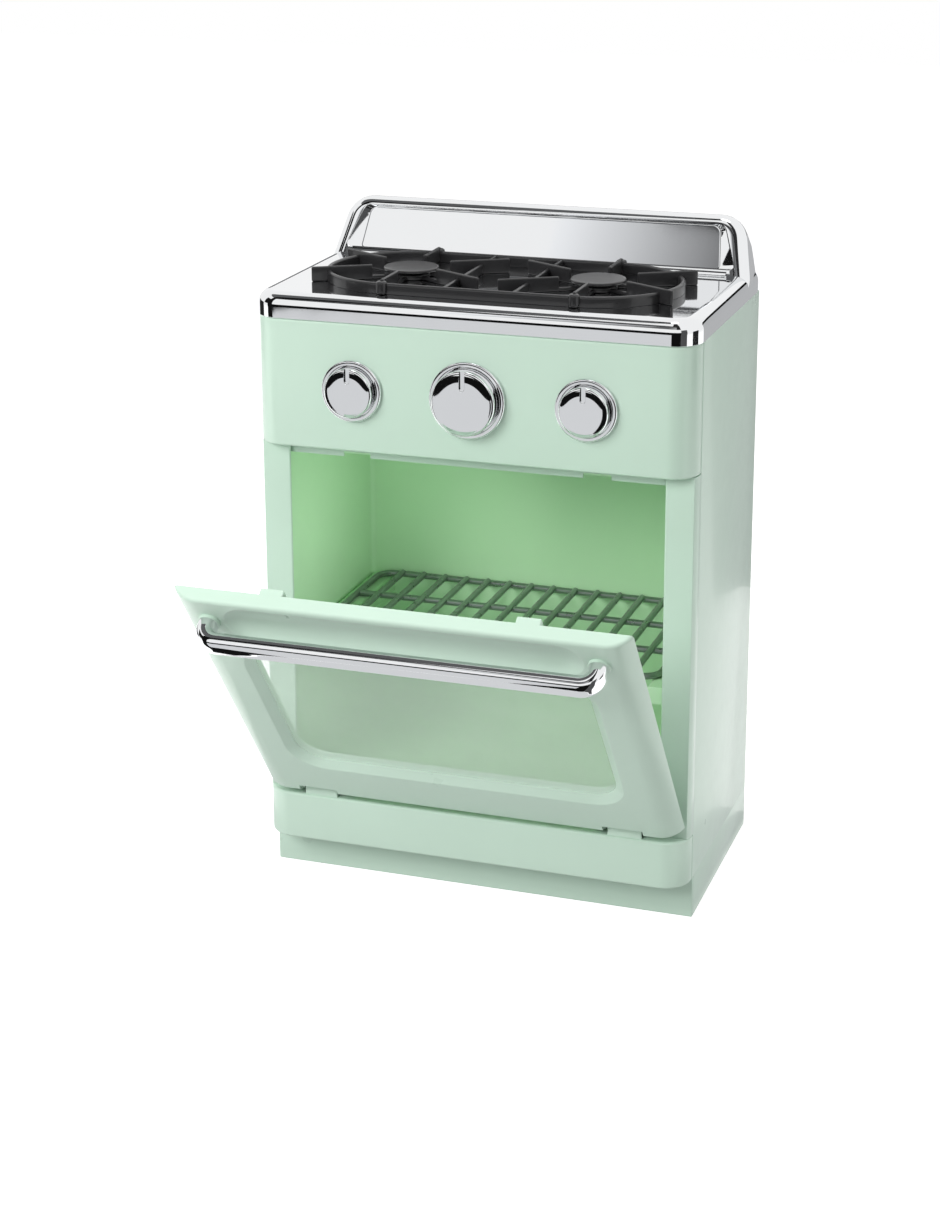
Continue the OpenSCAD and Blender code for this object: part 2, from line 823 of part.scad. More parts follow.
// Clip that holds the knob's shaft behind its ring
module knob_clip(i) {
    color(steel) turned_at(i)
        translate([shaft_r, -spigot_len - slide_gap - clip_t]) square([clip_r - shaft_r, clip_t]);
}

module bezel_left() {
    bezel(-1);
}

module bezel_middle() {
    bezel(0);
}

module bezel_right() {
    bezel(1);
}

module knob_left() {
    knob(-1);
}

module knob_middle() {
    knob(0);
}

module knob_right() {
    knob(1);
}

module knob_clip_left() {
    knob_clip(-1);
}

module knob_clip_middle() {
    knob_clip(0);
}

module knob_clip_right() {
    knob_clip(1);
}

window_mid = window_z + window_h / 2;
door_screw_zs = [door_liner_z + 6, window_mid, door_liner_top - 30];

// Window outline drawn in by the given amount
module window_outline(inset) {
    translate([0, window_mid]) round_rect(window_w - 2 * inset, window_h - 2 * inset, window_r - inset);
}

// Space of the window's sloping lip: cones at its corners and wedges along its sides
module window_lip() {
    over = 0.5;
    grow = over * lip_w / lip_d;
    straight_w = window_w / 2 - window_r;
    straight_h = window_h / 2 - window_r;
    translate([0, 0, window_mid]) {
        for (x = [-straight_w, straight_w], z = [-straight_h, straight_h])
            translate([x, -over, z]) rotate([-90, 0, 0])
                cylinder(r1 = window_r + grow, r2 = window_r - lip_w, h = lip_d + over);
        rotate([90, 0, 90]) translate([0, 0, -straight_w]) linear_extrude(2 * straight_w)
            lip_section(window_h / 2, over, grow);
        translate([0, 0, -straight_h]) linear_extrude(2 * straight_h)
            rotate(90) mirror([0, 1]) lip_section(window_w / 2, over, grow);
    }
}

// Section through the opening: depth along X, wide at the face and narrow at the pane
module lip_section(half, over, grow) {
    polygon([[-over, -half - grow], [-over, half + grow], [lip_d, half - lip_w], [lip_d, lip_w - half]]);
}

// Outline of the inner panel that closes the door's back
module door_liner_outline(grow) {
    translate([0, (door_liner_z + door_liner_top) / 2])
        round_rect(2 * (door_liner_half + grow), door_liner_top - door_liner_z + 2 * grow,
                   door_liner_r + grow);
}

// Finger hollow: a round-ended groove scooped behind the handle
module scoop() {
    ball_r = (pow(scoop_h / 2, 2) + pow(scoop_d, 2)) / (2 * scoop_d);
    half = scoop_w / 2 - scoop_h / 2;
    rod_x(scoop_d - ball_r, handle_z, ball_r, -half, half);
    both_sides() translate([half, scoop_d - ball_r, handle_z]) sphere(ball_r);
}

// Door front with its window lip, finger hollow, latch tabs and hinge ears
module door_frame() {
    color(mint) from_front() hung() difference() {
        union() {
            translate([0, 0, door_z]) intersection() {
                soft_slab(body_w, wrap_d, corner_r, door_h, door_edge, [door_edge, door_h - door_edge]);
                translate([-body_w, -wall, -wall]) cube([2 * body_w, door_t + wall, door_h + 2 * wall]);
            }
            both_sides() {
                // latch tab
                translate([tab_x - tab_w / 2, door_t - 1, door_top - tab_h]) cube([tab_w, tab_d + 1, tab_h]);
                // seat of the handle
                rod_y(handle_x, handle_z, boss_r, -boss_h, 1);
                // ears on both sides of the knuckle
                for (x = [knuckle_x - notch_w / 2 - ear_w, knuckle_x + notch_w / 2]) {
                    rod_x(hinge_setback, hinge_z, ear_r, x, x + ear_w);
                    translate([x, hinge_setback - ear_r, hinge_z])
                        cube([ear_w, door_t - hinge_setback + ear_r, door_z - hinge_z + 1]);
                }
            }
        }
        // window with its sloping lip, seat of the pane and seat of the inner panel
        window_lip();
        slab(0, door_t + 1) window_outline(lip_w);
        slab(lip_d, door_t + 1) window_outline(lip_w - pane_lap - pane_gap);
        slab(lip_d + pane_t, door_t + 1) door_liner_outline(pane_gap);
        // hollows that keep the rails at an even thickness
        both_sides() for (i = [0, 1])
            translate([window_w / 2 + pocket_rib, door_skin, door_screw_zs[i] + pocket_post])
                cube([door_liner_half - window_w / 2 - 3 * pocket_rib, lip_d + pane_t,
                      door_screw_zs[i + 1] - door_screw_zs[i] - 2 * pocket_post]);
        both_sides() translate([4 * pocket_rib, door_skin, door_liner_z + pocket_rib])
            cube([knuckle_x - notch_w / 2 - 8 * pocket_rib, lip_d + pane_t,
                  window_rise - door_liner_inset - 3 * pocket_rib]);
        scoop();
        both_sides() {
            // notch round the knuckle
            translate([knuckle_x - notch_w / 2, -1, door_z - 8])
                cube([notch_w, door_t + 2, notch_z - door_z + 8]);
            rod_x(hinge_setback, hinge_z, pin_r + run_fit, knuckle_x - notch_w, knuckle_x + notch_w);
            // screw holes
            for (z = door_screw_zs)
                rod_y(door_screw_x, z, screw_r, door_skin, door_t);
            rod_y(handle_x, handle_z, screw_r + bore_clear, -boss_h - 1, door_t);
            rod_y(handle_x, handle_z, head_r + bore_clear, lip_d + pane_t - head_h - 0.2, door_t);
        }
    }
}

module door_liner() {
    color(mint) from_front() hung() difference() {
        slab(lip_d + pane_t, door_t) door_liner_outline(0);
        slab(0, door_t + 1) window_outline(lip_w);
        both_sides() {
            for (z = door_screw_zs) {
                rod_y(door_screw_x, z, screw_r + bore_clear, 0, door_t + 1);
                rod_y(door_screw_x, z, head_r + bore_clear, door_t - head_h - 0.1, door_t + 1);
            }
        }
    }
}

module door_window() {
    color(clear) from_front() hung()
        slab(lip_d, lip_d + pane_t) window_outline(lip_w - pane_lap);
}

module door_screws() {
    color(steel) from_front() hung() both_sides() for (z = door_screw_zs)
        screw_y(door_screw_x, z, door_t - head_h - 0.1, door_t - head_h - 0.1 - door_skin - 0.5);
}

// Section of the handle's bar
module bar_section() {
    round_rect(handle_t, handle_h, 3.6);
}

// Bar with two bent ends
module door_handle() {
    straight = handle_x - handle_bend;
    color(chrome) from_front() hung() difference() {
        translate([0, 0, handle_z]) {
            translate([-straight, -handle_reach, 0]) rotate([90, 0, 90])
                linear_extrude(2 * straight) bar_section();
            both_sides() {
                translate([straight, handle_bend - handle_reach, 0]) rotate([0, 0, -90])
                    rotate_extrude(angle = 90) translate([handle_bend, 0]) bar_section();
                translate([handle_x, handle_bend - handle_reach, 0]) rotate([-90, 0, 0])
                    linear_extrude(handle_reach - handle_bend - boss_h) bar_section();
            }
        }
        both_sides() rod_y(handle_x, handle_z, screw_r, -boss_h - handle_screw_in, 0);
    }
}

module handle_screws() {
    head_y = lip_d + pane_t - head_h - 0.1;
    color(steel) from_front() hung() both_sides()
        screw_y(handle_x, handle_z, head_y, head_y + boss_h + handle_screw_in - 0.5);
}

// Wire rack: a frame with round corners, bars across and wires laid over them
module oven_rack() {
    half = rack_w / 2;
    pitch = rack_w / (rack_wires + 1);
    depth = rack_back - rack_front;
    color(wire_green) from_front() translate([rack_shift, 0, rack_z]) {
        both_sides() {
            translate([half, rack_front + rack_corner_r, 0]) rotate([-90, 0, 0])
                cylinder(r = wire_r, h = depth - 2 * rack_corner_r);
            for (end = [[rack_front + rack_corner_r, -90], [rack_back - rack_corner_r, 0]])
                translate([half - rack_corner_r, end[0], 0]) rotate([0, 0, end[1]])
                    rotate_extrude(angle = 90) translate([rack_corner_r, 0]) circle(wire_r);
        }
        for (y = [rack_front, rack_back])
            rod_x(y, 0, wire_r, rack_corner_r - half, half - rack_corner_r);
        for (i = [1:rack_bars])
            rod_x(rack_front + i * depth / (rack_bars + 1), 0, wire_r, -half, half);
        for (i = [1:rack_wires])
            rod_y(i * pitch - half, wire_lift, wire_r, rack_front, rack_back);
    }
}

base_tray();
side_panel_left();
side_panel_right();
rear_panel();
lower_panel();
control_panel();
oven_liner();
cooktop();
grate();
burner_cap_left();
burner_cap_right();
bezel_left();
bezel_middle();
bezel_right();
knob_left();
knob_middle();
knob_right();
knob_clip_left();
knob_clip_middle();
knob_clip_right();
door_frame();
door_liner();
door_window();
door_handle();
door_screws();
handle_screws();
hinge_pins();
oven_rack();
rear_screws();
base_screws();
cooktop_screws();
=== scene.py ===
import json
import math
import bpy
import bmesh
import numpy as np
from mathutils import Matrix


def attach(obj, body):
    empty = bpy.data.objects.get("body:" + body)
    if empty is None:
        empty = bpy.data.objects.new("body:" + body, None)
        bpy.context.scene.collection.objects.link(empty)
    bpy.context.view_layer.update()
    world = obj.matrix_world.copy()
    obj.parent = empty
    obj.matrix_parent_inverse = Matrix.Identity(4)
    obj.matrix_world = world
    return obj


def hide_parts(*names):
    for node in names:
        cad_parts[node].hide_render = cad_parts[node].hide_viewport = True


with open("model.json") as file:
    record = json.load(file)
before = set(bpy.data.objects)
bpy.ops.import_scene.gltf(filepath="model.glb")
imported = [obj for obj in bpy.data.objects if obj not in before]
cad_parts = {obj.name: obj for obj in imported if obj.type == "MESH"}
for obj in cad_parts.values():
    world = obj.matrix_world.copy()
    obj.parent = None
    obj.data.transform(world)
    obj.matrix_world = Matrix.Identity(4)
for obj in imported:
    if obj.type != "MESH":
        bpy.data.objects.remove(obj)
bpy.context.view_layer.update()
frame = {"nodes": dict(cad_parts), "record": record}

# All shapes are worked out in millimetres: x to the right, y from the front plane backwards, z up.
frontPlane = -79.0  # where the front plane lies in the frame, in mm


view = dict(place=(428.321, -1258.438, 654.05), turn=18.743, tilt=16.1, roll=-0.21,
            lens=73.04, shift=-0.12, sensor=36, near=0.05, far=30)


# The camera looks along a direction given by its turn and tilt, and rolls a little about it
def setCamera():
    a, e, r = (math.radians(view[k]) for k in ("turn", "tilt", "roll"))
    ahead = np.array([-math.sin(a) * math.cos(e), math.cos(a) * math.cos(e), -math.sin(e)])
    right = np.array([math.cos(a), math.sin(a), 0.0])
    up = np.cross(right, ahead)
    right, up = right * math.cos(r) + up * math.sin(r), up * math.cos(r) - right * math.sin(r)
    lens = bpy.data.cameras.new("camera")
    lens.lens, lens.sensor_width, lens.shift_y = view["lens"], view["sensor"], view["shift"]
    lens.clip_start, lens.clip_end = view["near"], view["far"]
    camera = bpy.data.objects.new("camera", lens)
    bpy.context.scene.collection.objects.link(camera)
    turn = np.eye(4)
    turn[:3, 0], turn[:3, 1], turn[:3, 2] = right, up, -ahead
    turn[:3, 3] = (np.array(view["place"]) + (0, frontPlane, 0)) / 1000
    camera.matrix_world = Matrix(turn.tolist())
    bpy.context.scene.camera = camera


lamps = [  # name, place, target, size and watts
    ("keyLamp", (-0.75, -1.35, 1.05), (0, -0.05, 0.2), 0.9, 20),
    ("fillLamp", (1.6, 0.3, 0.7), (0, 0, 0.2), 0.9, 6),
    ("topLamp", (-0.1, 0.0, 1.8), (0, 0, 0.2), 0.5, 12),
    ("bounceLamp", (0.0, -0.045, 0.2), (-0.12, -0.03, 0.2), 0.035, 0.05),  # thrown about in the cavity
]


# Lamps light the oven only; what bright parts mirror is the world and the studio flags
def setLamps():
    for name, place, target, size, watts in lamps:
        lamp = bpy.data.lights.new(name, "AREA")
        lamp.shape, lamp.size, lamp.energy = "DISK", size, watts
        holder = bpy.data.objects.new(name, lamp)
        bpy.context.scene.collection.objects.link(holder)
        holder.location = place
        holder.visible_glossy = holder.visible_camera = False
        aim = Matrix.Translation(target).translation - Matrix.Translation(place).translation
        holder.rotation_euler = aim.to_track_quat("-Z", "Y").to_euler()


# One value on its way through a material; operators add Math nodes, colours go through Mix nodes
class Flow:
    def __init__(self, tree, socket=None):
        self.tree, self.socket = tree, socket

    # Adds a node: first its settings, then what its sockets hold or are linked to
    def node(self, kind, settings=None, sockets=None, out=0):
        made = self.tree.nodes.new("ShaderNode" + kind)
        for key, value in (settings or {}).items():
            setattr(made, key, value)
        for key, value in (sockets or {}).items():
            if isinstance(value, Flow):
                self.tree.links.new(value.socket, made.inputs[key])
            else:
                made.inputs[key].default_value = value
        return Flow(self.tree, made.outputs[out])

    def maths(self, operation, first, second=0.0, clamp=False):
        return self.node("Math", {"operation": operation, "use_clamp": clamp}, {0: first, 1: second})

    def __add__(self, other):
        return self.maths("ADD", self, other)

    def __radd__(self, other):
        return self.maths("ADD", other, self)

    def __sub__(self, other):
        return self.maths("SUBTRACT", self, other)

    def __rsub__(self, other):
        return self.maths("SUBTRACT", other, self)

    def __mul__(self, other):
        return self.maths("MULTIPLY", self, other)

    def __rmul__(self, other):
        return self.maths("MULTIPLY", other, self)

    def clamped(self):
        return self.maths("ADD", self, 0.0, True)

    def blend(self, low, high):  # a colour between two, by this value
        return self.node("Mix", {"data_type": "RGBA"}, {0: self, 6: low, 7: high}, 2)

    def noise(self, scale, detail=2.0, rough=0.5):
        where = self.node("TexCoord", out="Object")
        sockets = {"Vector": where, "Scale": scale, "Detail": detail, "Roughness": rough}
        return self.node("TexNoise", {}, sockets)

    def bump(self, height, strength, distance):
        return self.node("Bump", {}, {"Height": height, "Strength": strength, "Distance": distance})


# A material whose surface is the shader that build makes
def newMaterial(name, build):
    material = bpy.data.materials.new(name)
    material.use_nodes = True
    tree = material.node_tree
    tree.nodes.clear()
    shader = build(Flow(tree))
    output = tree.nodes.new("ShaderNodeOutputMaterial")
    tree.links.new(shader.socket, output.inputs["Surface"])
    return material


# A Principled finish whose sockets take plain values or flows
def finish(name, build):
    return newMaterial(name, lambda flow: flow.node("BsdfPrincipled", {}, build(flow)))


def tint(base, factor):
    return tuple(min(c * factor, 1) for c in base) + (1,)


mouldSkin = dict(cloud=9, smudge=26, grain=420, ripple=60, rippleShare=1.5, uneven=0.14,
                 coatRough=0.08, deep=0.00012)


# Moulded plastic: soft mottling of the colour, uneven gloss and a fine orange-peel skin
def plastic(base, gloss, mottle=0.04, peel=0.12, coat=0.5):
    def build(flow):
        m = mouldSkin
        cloud = flow.noise(m["cloud"], 3)
        smudge = flow.noise(m["smudge"], 4, 0.62)
        skin = flow.noise(m["grain"]) + flow.noise(m["ripple"]) * m["rippleShare"]
        return {"Base Color": cloud.blend(tint(base, 1 - mottle), tint(base, 1 + mottle * 0.6)),
                "Roughness": (smudge - 0.5) * m["uneven"] + gloss,
                "Coat Weight": smudge * coat,
                "Coat Roughness": m["coatRough"],
                "Normal": flow.bump(skin, peel, m["deep"])}
    return build


metalSkin = dict(smudge=18, wave=14, dull=0.96, clean=0.42, uneven=0.12, deep=0.0006)


# Bright metallised plastic: a mirror with faint waves and wiped smudges
def brightMetal(base, gloss, waves=0.1):
    def build(flow):
        m = metalSkin
        smudge = flow.noise(m["smudge"], 5, 0.6)
        return {"Base Color": smudge.blend(tint(base, m["dull"]), tint(base, 1)),
                "Metallic": 1.0,
                "Roughness": ((smudge - m["clean"]) * m["uneven"]).clamped() + gloss,
                "Normal": flow.bump(flow.noise(m["wave"], 1), waves, m["deep"])}
    return build


wireSkin = dict(worn=120, dull=0.7, metal=0.85, uneven=0.2, bump=0.2, deep=0.0001)


# Dark plated wire, worn unevenly
def darkWire(base, gloss):
    def build(flow):
        m = wireSkin
        worn = flow.noise(m["worn"], 4, 0.6)
        return {"Base Color": worn.blend(tint(base, m["dull"]), tint(base, 1)),
                "Metallic": m["metal"],
                "Roughness": (worn - 0.5) * m["uneven"] + gloss,
                "Normal": flow.bump(worn, m["bump"], m["deep"])}
    return build


paneSkin = dict(haze=11, dull=0.95, uneven=0.1, thin=0.05, ior=1.49)


# Milky clear plastic: it covers a share of what lies behind it
def milkyPane(base, gloss, cover):
    def build(flow):
        m = paneSkin
        haze = flow.noise(m["haze"], 4, 0.6)
        return {"Base Color": haze.blend(tint(base, m["dull"]), tint(base, 1)),
                "Roughness": (haze - 0.5) * m["uneven"] + gloss,
                "Alpha": (haze - 0.5) * m["thin"] + cover,
                "IOR": m["ior"]}
    return build


finishes = {
    "mint_plastic": finish("mintPlastic", plastic((0.565, 0.728, 0.615), 0.3)),
    "cavity_plastic": finish("cavityPlastic", plastic((0.58, 0.865, 0.56), 0.4)),
    "bright_trim": finish("brightTrim", brightMetal((0.86, 0.87, 0.88), 0.03)),
    "black_plastic": finish("blackSatin", plastic((0.018, 0.018, 0.019), 0.34, 0.1, 0.25, 0.6)),
    "clear_pane": finish("milkyPane", milkyPane((0.8, 0.93, 0.83), 0.3, 0.32)),
    "rack_wire": finish("rackWire", darkWire((0.30, 0.34, 0.32), 0.3)),
    "steel": finish("zincSteel", brightMetal((0.56, 0.57, 0.58), 0.28, 0.2)),
}


stage = dict(world=0.41, paper=0.6, lift=0.8, reach=4.0, centre=(0, 20, 350), distance=3000, clear=4)

# Studio flags that bright parts mirror: turn from, to and rise from, to, in degrees as seen from
# the part, where a turn of 0 is in front and 90 on the right, then the shade at the first and at
# the last turn
flags = [
    (-180, 180, -90, -60, 0.75, 0.75),  # grey card underneath: painted shade of the floor where the oven shadows it, seen only in mirrors
    (-41, 2, -60, -12, 0.75, 0.75),     # and in front: painted shade of the floor, seen only in mirrors
    (-62, 60, -12, 4, 0.006, 0.006),    # dark floor beyond it
    (-59, -41, -60, 62, 0.008, 0.008),  # black flag on the left
    (2, 37, -60, -12, 0.006, 0.006),    # black cloth under the camera
    (37, 61, -60, 22, 0.1, 0.08),       # grey wall on the right
    (-41, 0, 46, 50, 0.01, 0.01),       # front edge of the dark ceiling, then the ceiling
    (-110, 0, 50, 57, 0.12, 0.12),
    (-110, -37, 57, 78, 0.12, 0.12),
    (0, 37, 48, 78, 0.03, 0.03),
    (-110, 37, 78, 81, 0.008, 0.008),
    (-180, 180, 81.5, 90, 3.5, 3.5),    # bright disc above, a line along upper edges
    (-23.5, -14, 30, 46, 1.0, 0.12),    # grey wall behind the camera, fading in from the left
    (-14, 20, 30, 48, 0.12, 0.4),
    (20, 37, 28, 48, 0.02, 0.02),
    (-80, -59, 4, 36, 0.01, 0.01),      # second black flag further left
    (150, 178, 4, 9, 0.008, 0.008),     # dark openings and grey walls behind, right and left
    (150, 178, -30, 4, 0.5, 0.5),
    (-178, -150, 4, 9, 0.008, 0.008),
    (-178, -150, -30, 4, 0.5, 0.5),
    (84, 112, -13, 3, 0.02, 0.02),      # dark cards at both sides
    (-118, -84, -13, 3, 0.02, 0.02),
]


# One mesh of curved cards, each a patch of a sphere about the part or, where that would pass through
# the floor, of the floor; only mirrored rays see them
def setFlags():
    rows, cols = 9, 17
    points, shades, faces = [], [], []
    for turnA, turnB, riseA, riseB, shadeA, shadeB in flags:
        rises = np.radians(np.linspace(riseA, riseB, rows))
        rise, turn = np.meshgrid(rises, np.linspace(0, 1, cols), indexing="ij")
        shade = shadeA + (shadeB - shadeA) * turn
        turn = np.radians(turnA + (turnB - turnA) * turn)
        aim = np.stack([np.sin(turn) * np.cos(rise), -np.cos(turn) * np.cos(rise), np.sin(rise)], -1)
        toFloor = (stage["centre"][2] - stage["clear"]) / np.maximum(-aim[..., 2:], 1e-3)
        reach = np.minimum(stage["distance"], toFloor)
        faces.append(sheetFaces(rows, cols, False) + sum(len(q) for q in points))
        points.append((aim * reach + stage["centre"]).reshape(-1, 3))
        shades.append(shade.reshape(-1))
    points, faces, shades = (np.concatenate(v) for v in (points, faces, shades))
    mesh = bpy.data.meshes.new("studioFlags")
    mesh.from_pydata(((points + (0, frontPlane, 0)) / 1000).tolist(), [], faces.tolist())
    mesh.attributes.new("shade", "FLOAT", "POINT").data.foreach_set("value", shades.astype(np.float32))
    cards = bpy.data.objects.new("studioFlags", mesh)
    bpy.context.scene.collection.objects.link(cards)
    cards.visible_camera = cards.visible_diffuse = cards.visible_transmission = False
    cards.visible_shadow = cards.visible_volume_scatter = False
    return cards


# Rays that show the background itself: straight to the camera, mirrored or through the pane
def shownRays(flow):
    rays = ("Is Camera Ray", "Is Glossy Ray", "Is Transmission Ray")
    camera, glossy, through = (flow.node("LightPath", out=name) for name in rays)
    return (camera + glossy + through).clamped()


# White paper: its own light makes it white to shown rays and leaves the shadow
def paper(flow):
    pale = (stage["paper"],) * 3 + (1,)
    lift = shownRays(flow) * stage["lift"]
    glow = flow.node("Emission", {}, {"Color": (1, 1, 1, 1), "Strength": lift})
    return flow.node("AddShader", {}, {0: flow.node("BsdfDiffuse", {}, {"Color": pale}), 1: glow})


def flagCloth(flow):
    shade = flow.node("Attribute", {"attribute_name": "shade"}, out="Fac")
    return flow.node("Emission", {}, {"Color": (0.97, 0.98, 1, 1), "Strength": shade})


def setStage():
    scene = bpy.context.scene
    scene.view_settings.view_transform = "Standard"
    world = bpy.data.worlds.new("studio")
    scene.world = world
    world.use_nodes = True
    tree = world.node_tree
    tree.nodes.clear()
    flow = Flow(tree)
    level = shownRays(flow) * (1 - stage["world"]) + stage["world"]
    sky = flow.node("Background", {}, {"Color": (1, 1, 1, 1), "Strength": level})
    tree.links.new(sky.socket, tree.nodes.new("ShaderNodeOutputWorld").inputs["Surface"])
    r = stage["reach"]
    mesh = bpy.data.meshes.new("floor")
    mesh.from_pydata([(-r, -r, 0), (r, -r, 0), (r, r, 0), (-r, r, 0)], [], [(0, 1, 2, 3)])
    floor = bpy.data.objects.new("floor", mesh)
    scene.collection.objects.link(floor)
    mesh.materials.append(newMaterial("paper", paper))
    cards = setFlags()
    cards.data.materials.append(newMaterial("flagCloth", flagCloth))


# Closed outline with round corners. Each side is first drawn in by its inset; a corner's arc is
# tangent to both of its sides, so it starts radius times tan(half the turn) before the corner.
# The point count is the same at any size.
def softOutline(corners, radii, inset=0.0, arc=8, side=4):
    c = np.asarray(corners, float)
    n = len(c)
    inset = np.broadcast_to(np.asarray(inset, float), (n,))
    sides = np.broadcast_to(side, (n,))
    along = np.roll(c, -1, 0) - c
    along /= np.linalg.norm(along, axis=1)[:, None]
    start = c + np.stack([-along[:, 1], along[:, 0]], 1) * inset[:, None]
    before = np.roll(along, 1, 0)
    gap = start - np.roll(start, 1, 0)
    cross = before[:, 0] * along[:, 1] - before[:, 1] * along[:, 0]
    reach = (gap[:, 0] * along[:, 1] - gap[:, 1] * along[:, 0]) / cross
    corner = np.roll(start, 1, 0) + before * reach[:, None]
    turn = np.arctan2(cross, (before * along).sum(1))
    r = np.maximum(np.broadcast_to(np.asarray(radii, float), (n,)) - np.sign(turn) * inset, 0.01)
    arcStart = corner - before * (r * np.tan(np.abs(turn) / 2))[:, None]
    centre = arcStart + np.stack([-before[:, 1], before[:, 0]], 1) * (r * np.sign(turn))[:, None]
    angle = turn[:, None] * np.linspace(0, 1, arc + 1)
    arm = (arcStart - centre)[:, None, :]
    arcs = centre[:, None, :] + np.stack([arm[..., 0] * np.cos(angle) - arm[..., 1] * np.sin(angle),
                                          arm[..., 0] * np.sin(angle) + arm[..., 1] * np.cos(angle)], -1)
    rows = []
    for k in range(n):
        s = np.linspace(0, 1, sides[k] + 1)[1:-1, None]
        rows += [arcs[k], arcs[k, -1] * (1 - s) + arcs[(k + 1) % n, 0] * s]
    return np.concatenate(rows)


def box2(x0, x1, y0, y1):
    return [(x0, y0), (x1, y0), (x1, y1), (x0, y1)]


# Quarter turn of an edge of this radius: how far it is drawn in, r(1 - sin), and how far it has
# come down, r(1 - cos)
def edgeRound(radius, steps=5):
    a = np.linspace(0, math.pi / 2, steps + 1)
    return radius * (1 - np.sin(a)), radius * (1 - np.cos(a))


# Grid of points as a sheet of quads, closed across its columns where it goes round
def sheetFaces(rows, cols, around):
    i, j = np.meshgrid(np.arange(rows - 1), np.arange(cols if around else cols - 1), indexing="ij")
    k = (j + 1) % cols
    quads = np.stack([i * cols + j, i * cols + k, (i + 1) * cols + k, (i + 1) * cols + j], -1)
    return quads.reshape(-1, 4)


# Merges seams, drops faces of no size and turns all faces outwards
def cleanMesh(mesh):
    work = bmesh.new()
    work.from_mesh(mesh)
    bmesh.ops.remove_doubles(work, verts=work.verts, dist=1e-6)
    bmesh.ops.dissolve_degenerate(work, edges=work.edges, dist=1e-7)
    bmesh.ops.recalc_face_normals(work, faces=work.faces)
    work.to_mesh(mesh)
    work.free()


# A piece is built from sheets, grids of points in mm, and lids, rings of points closed by one flat
# face
class Shape:
    def __init__(self):
        self.points, self.quads, self.rings, self.count = [], [], [], 0

    def sheet(self, grid, around=False, lids=(False, False)):
        rows, cols = grid.shape[:2]
        self.points.append(grid.reshape(-1, 3))
        self.quads.append(sheetFaces(rows, cols, around) + self.count)
        for lid, row in zip(lids, (0, rows - 1)):
            if lid:
                self.rings.append(np.arange(cols) + row * cols + self.count)
        self.count += rows * cols
        return self

    def mesh(self, name):
        points = np.concatenate(self.points)
        quads = np.concatenate(self.quads) if self.quads else np.zeros((0, 4), int)
        loops = np.concatenate([quads.reshape(-1)] + self.rings).astype(np.int32)
        sizes = np.concatenate([np.full(len(quads), 4)] + [[len(r)] for r in self.rings])
        sizes = sizes.astype(np.int32)
        metres = ((points + (0, frontPlane, 0)) / 1000).astype(np.float32)
        mesh = bpy.data.meshes.new(name)
        mesh.vertices.add(len(points))
        mesh.vertices.foreach_set("co", metres.reshape(-1))
        mesh.loops.add(len(loops))
        mesh.loops.foreach_set("vertex_index", loops)
        mesh.polygons.add(len(sizes))
        mesh.polygons.foreach_set("loop_start", (np.cumsum(sizes) - sizes).astype(np.int32))
        mesh.update(calc_edges=True)
        cleanMesh(mesh)
        return mesh

    # Makes the object: cut out, smooth except along edges sharper than the angle, and finished
    def piece(self, name, body, slot, nodes=(), sharp=35, cutters=()):
        thing = bpy.data.objects.new(name, self.mesh(name))
        bpy.context.scene.collection.objects.link(thing)
        for cutter in cutters:
            cutAway(thing, cutter)
        mesh = thing.data
        mesh.polygons.foreach_set("use_smooth", [True] * len(mesh.polygons))
        mesh.set_sharp_from_angle(angle=math.radians(sharp))
        mesh.materials.clear()
        mesh.materials.append(finishes[slot])
        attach(thing, body)
        if nodes:
            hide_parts(*nodes)
        print("made", name, len(mesh.polygons), "faces")
        return thing


# Takes one closed shape out of a piece
def cutAway(thing, shape):
    cutter = bpy.data.objects.new("cutter", shape.mesh("cutter"))
    bpy.context.scene.collection.objects.link(cutter)
    bpy.context.view_layer.update()
    cut = thing.modifiers.new("cut", "BOOLEAN")
    cut.operation, cut.solver, cut.object = "DIFFERENCE", "EXACT", cutter
    cut.use_hole_tolerant = True
    shown = thing.evaluated_get(bpy.context.evaluated_depsgraph_get())
    result = bpy.data.meshes.new_from_object(shown)
    thing.modifiers.clear()
    thing.data = result
    bpy.data.objects.remove(cutter)


# Rounded edge at both ends of a run: pairs of inset and place along it
def softEnds(edge, low, high, steps=5):
    inset, drop = edgeRound(edge, steps)
    return [*zip(inset, low + drop), *zip(inset[::-1], high - drop[::-1])]


# Outline in plan carried upwards, with its upper and lower edges rounded and its ends closed just
# inside them. The outline may be turned to any of the three planes afterwards.
def softPrism(corners, radii, low, high, edge, arc=8, side=4, steps=5):
    lid = edge * 1.2 + 0.02
    grid = []
    for i, z in [(lid, low), *softEnds(edge, low, high, steps), (lid, high)]:
        outline = softOutline(corners, radii, i, arc, side)
        grid.append(np.column_stack([outline, np.full(len(outline), z)]))
    return np.array(grid)


# Profile of radius and height turned about an axis through a place
def turned(profile, place, axis="z", steps=64):
    profile = np.asarray(profile, float)
    a = np.linspace(0, 2 * math.pi, steps, endpoint=False)
    r, h = profile[:, 0][:, None], profile[:, 1][:, None] + 0 * a
    c, s = r * np.cos(a), r * np.sin(a)
    order = {"z": (c, s, h), "y": (c, h, s), "x": (h, c, s)}[axis]
    return np.stack(order, -1) + np.asarray(place, float)


# Section carried along a path: at each point the section's first axis lies across the path and
# the second one across both
def swept(path, section, up=(0, 0, 1), closed=False):
    path, section, up = np.asarray(path, float), np.asarray(section, float), np.asarray(up, float)
    if closed:
        ahead = np.roll(path, -1, 0) - np.roll(path, 1, 0)
    else:
        ahead = np.gradient(path, axis=0)
    ahead /= np.linalg.norm(ahead, axis=1)[:, None]
    across = np.cross(ahead, up)
    across /= np.linalg.norm(across, axis=1)[:, None]
    rise = np.cross(across, ahead)
    across, rise = across[:, None, :], rise[:, None, :]
    return path[:, None, :] + section[None, :, :1] * across + section[None, :, 1:] * rise


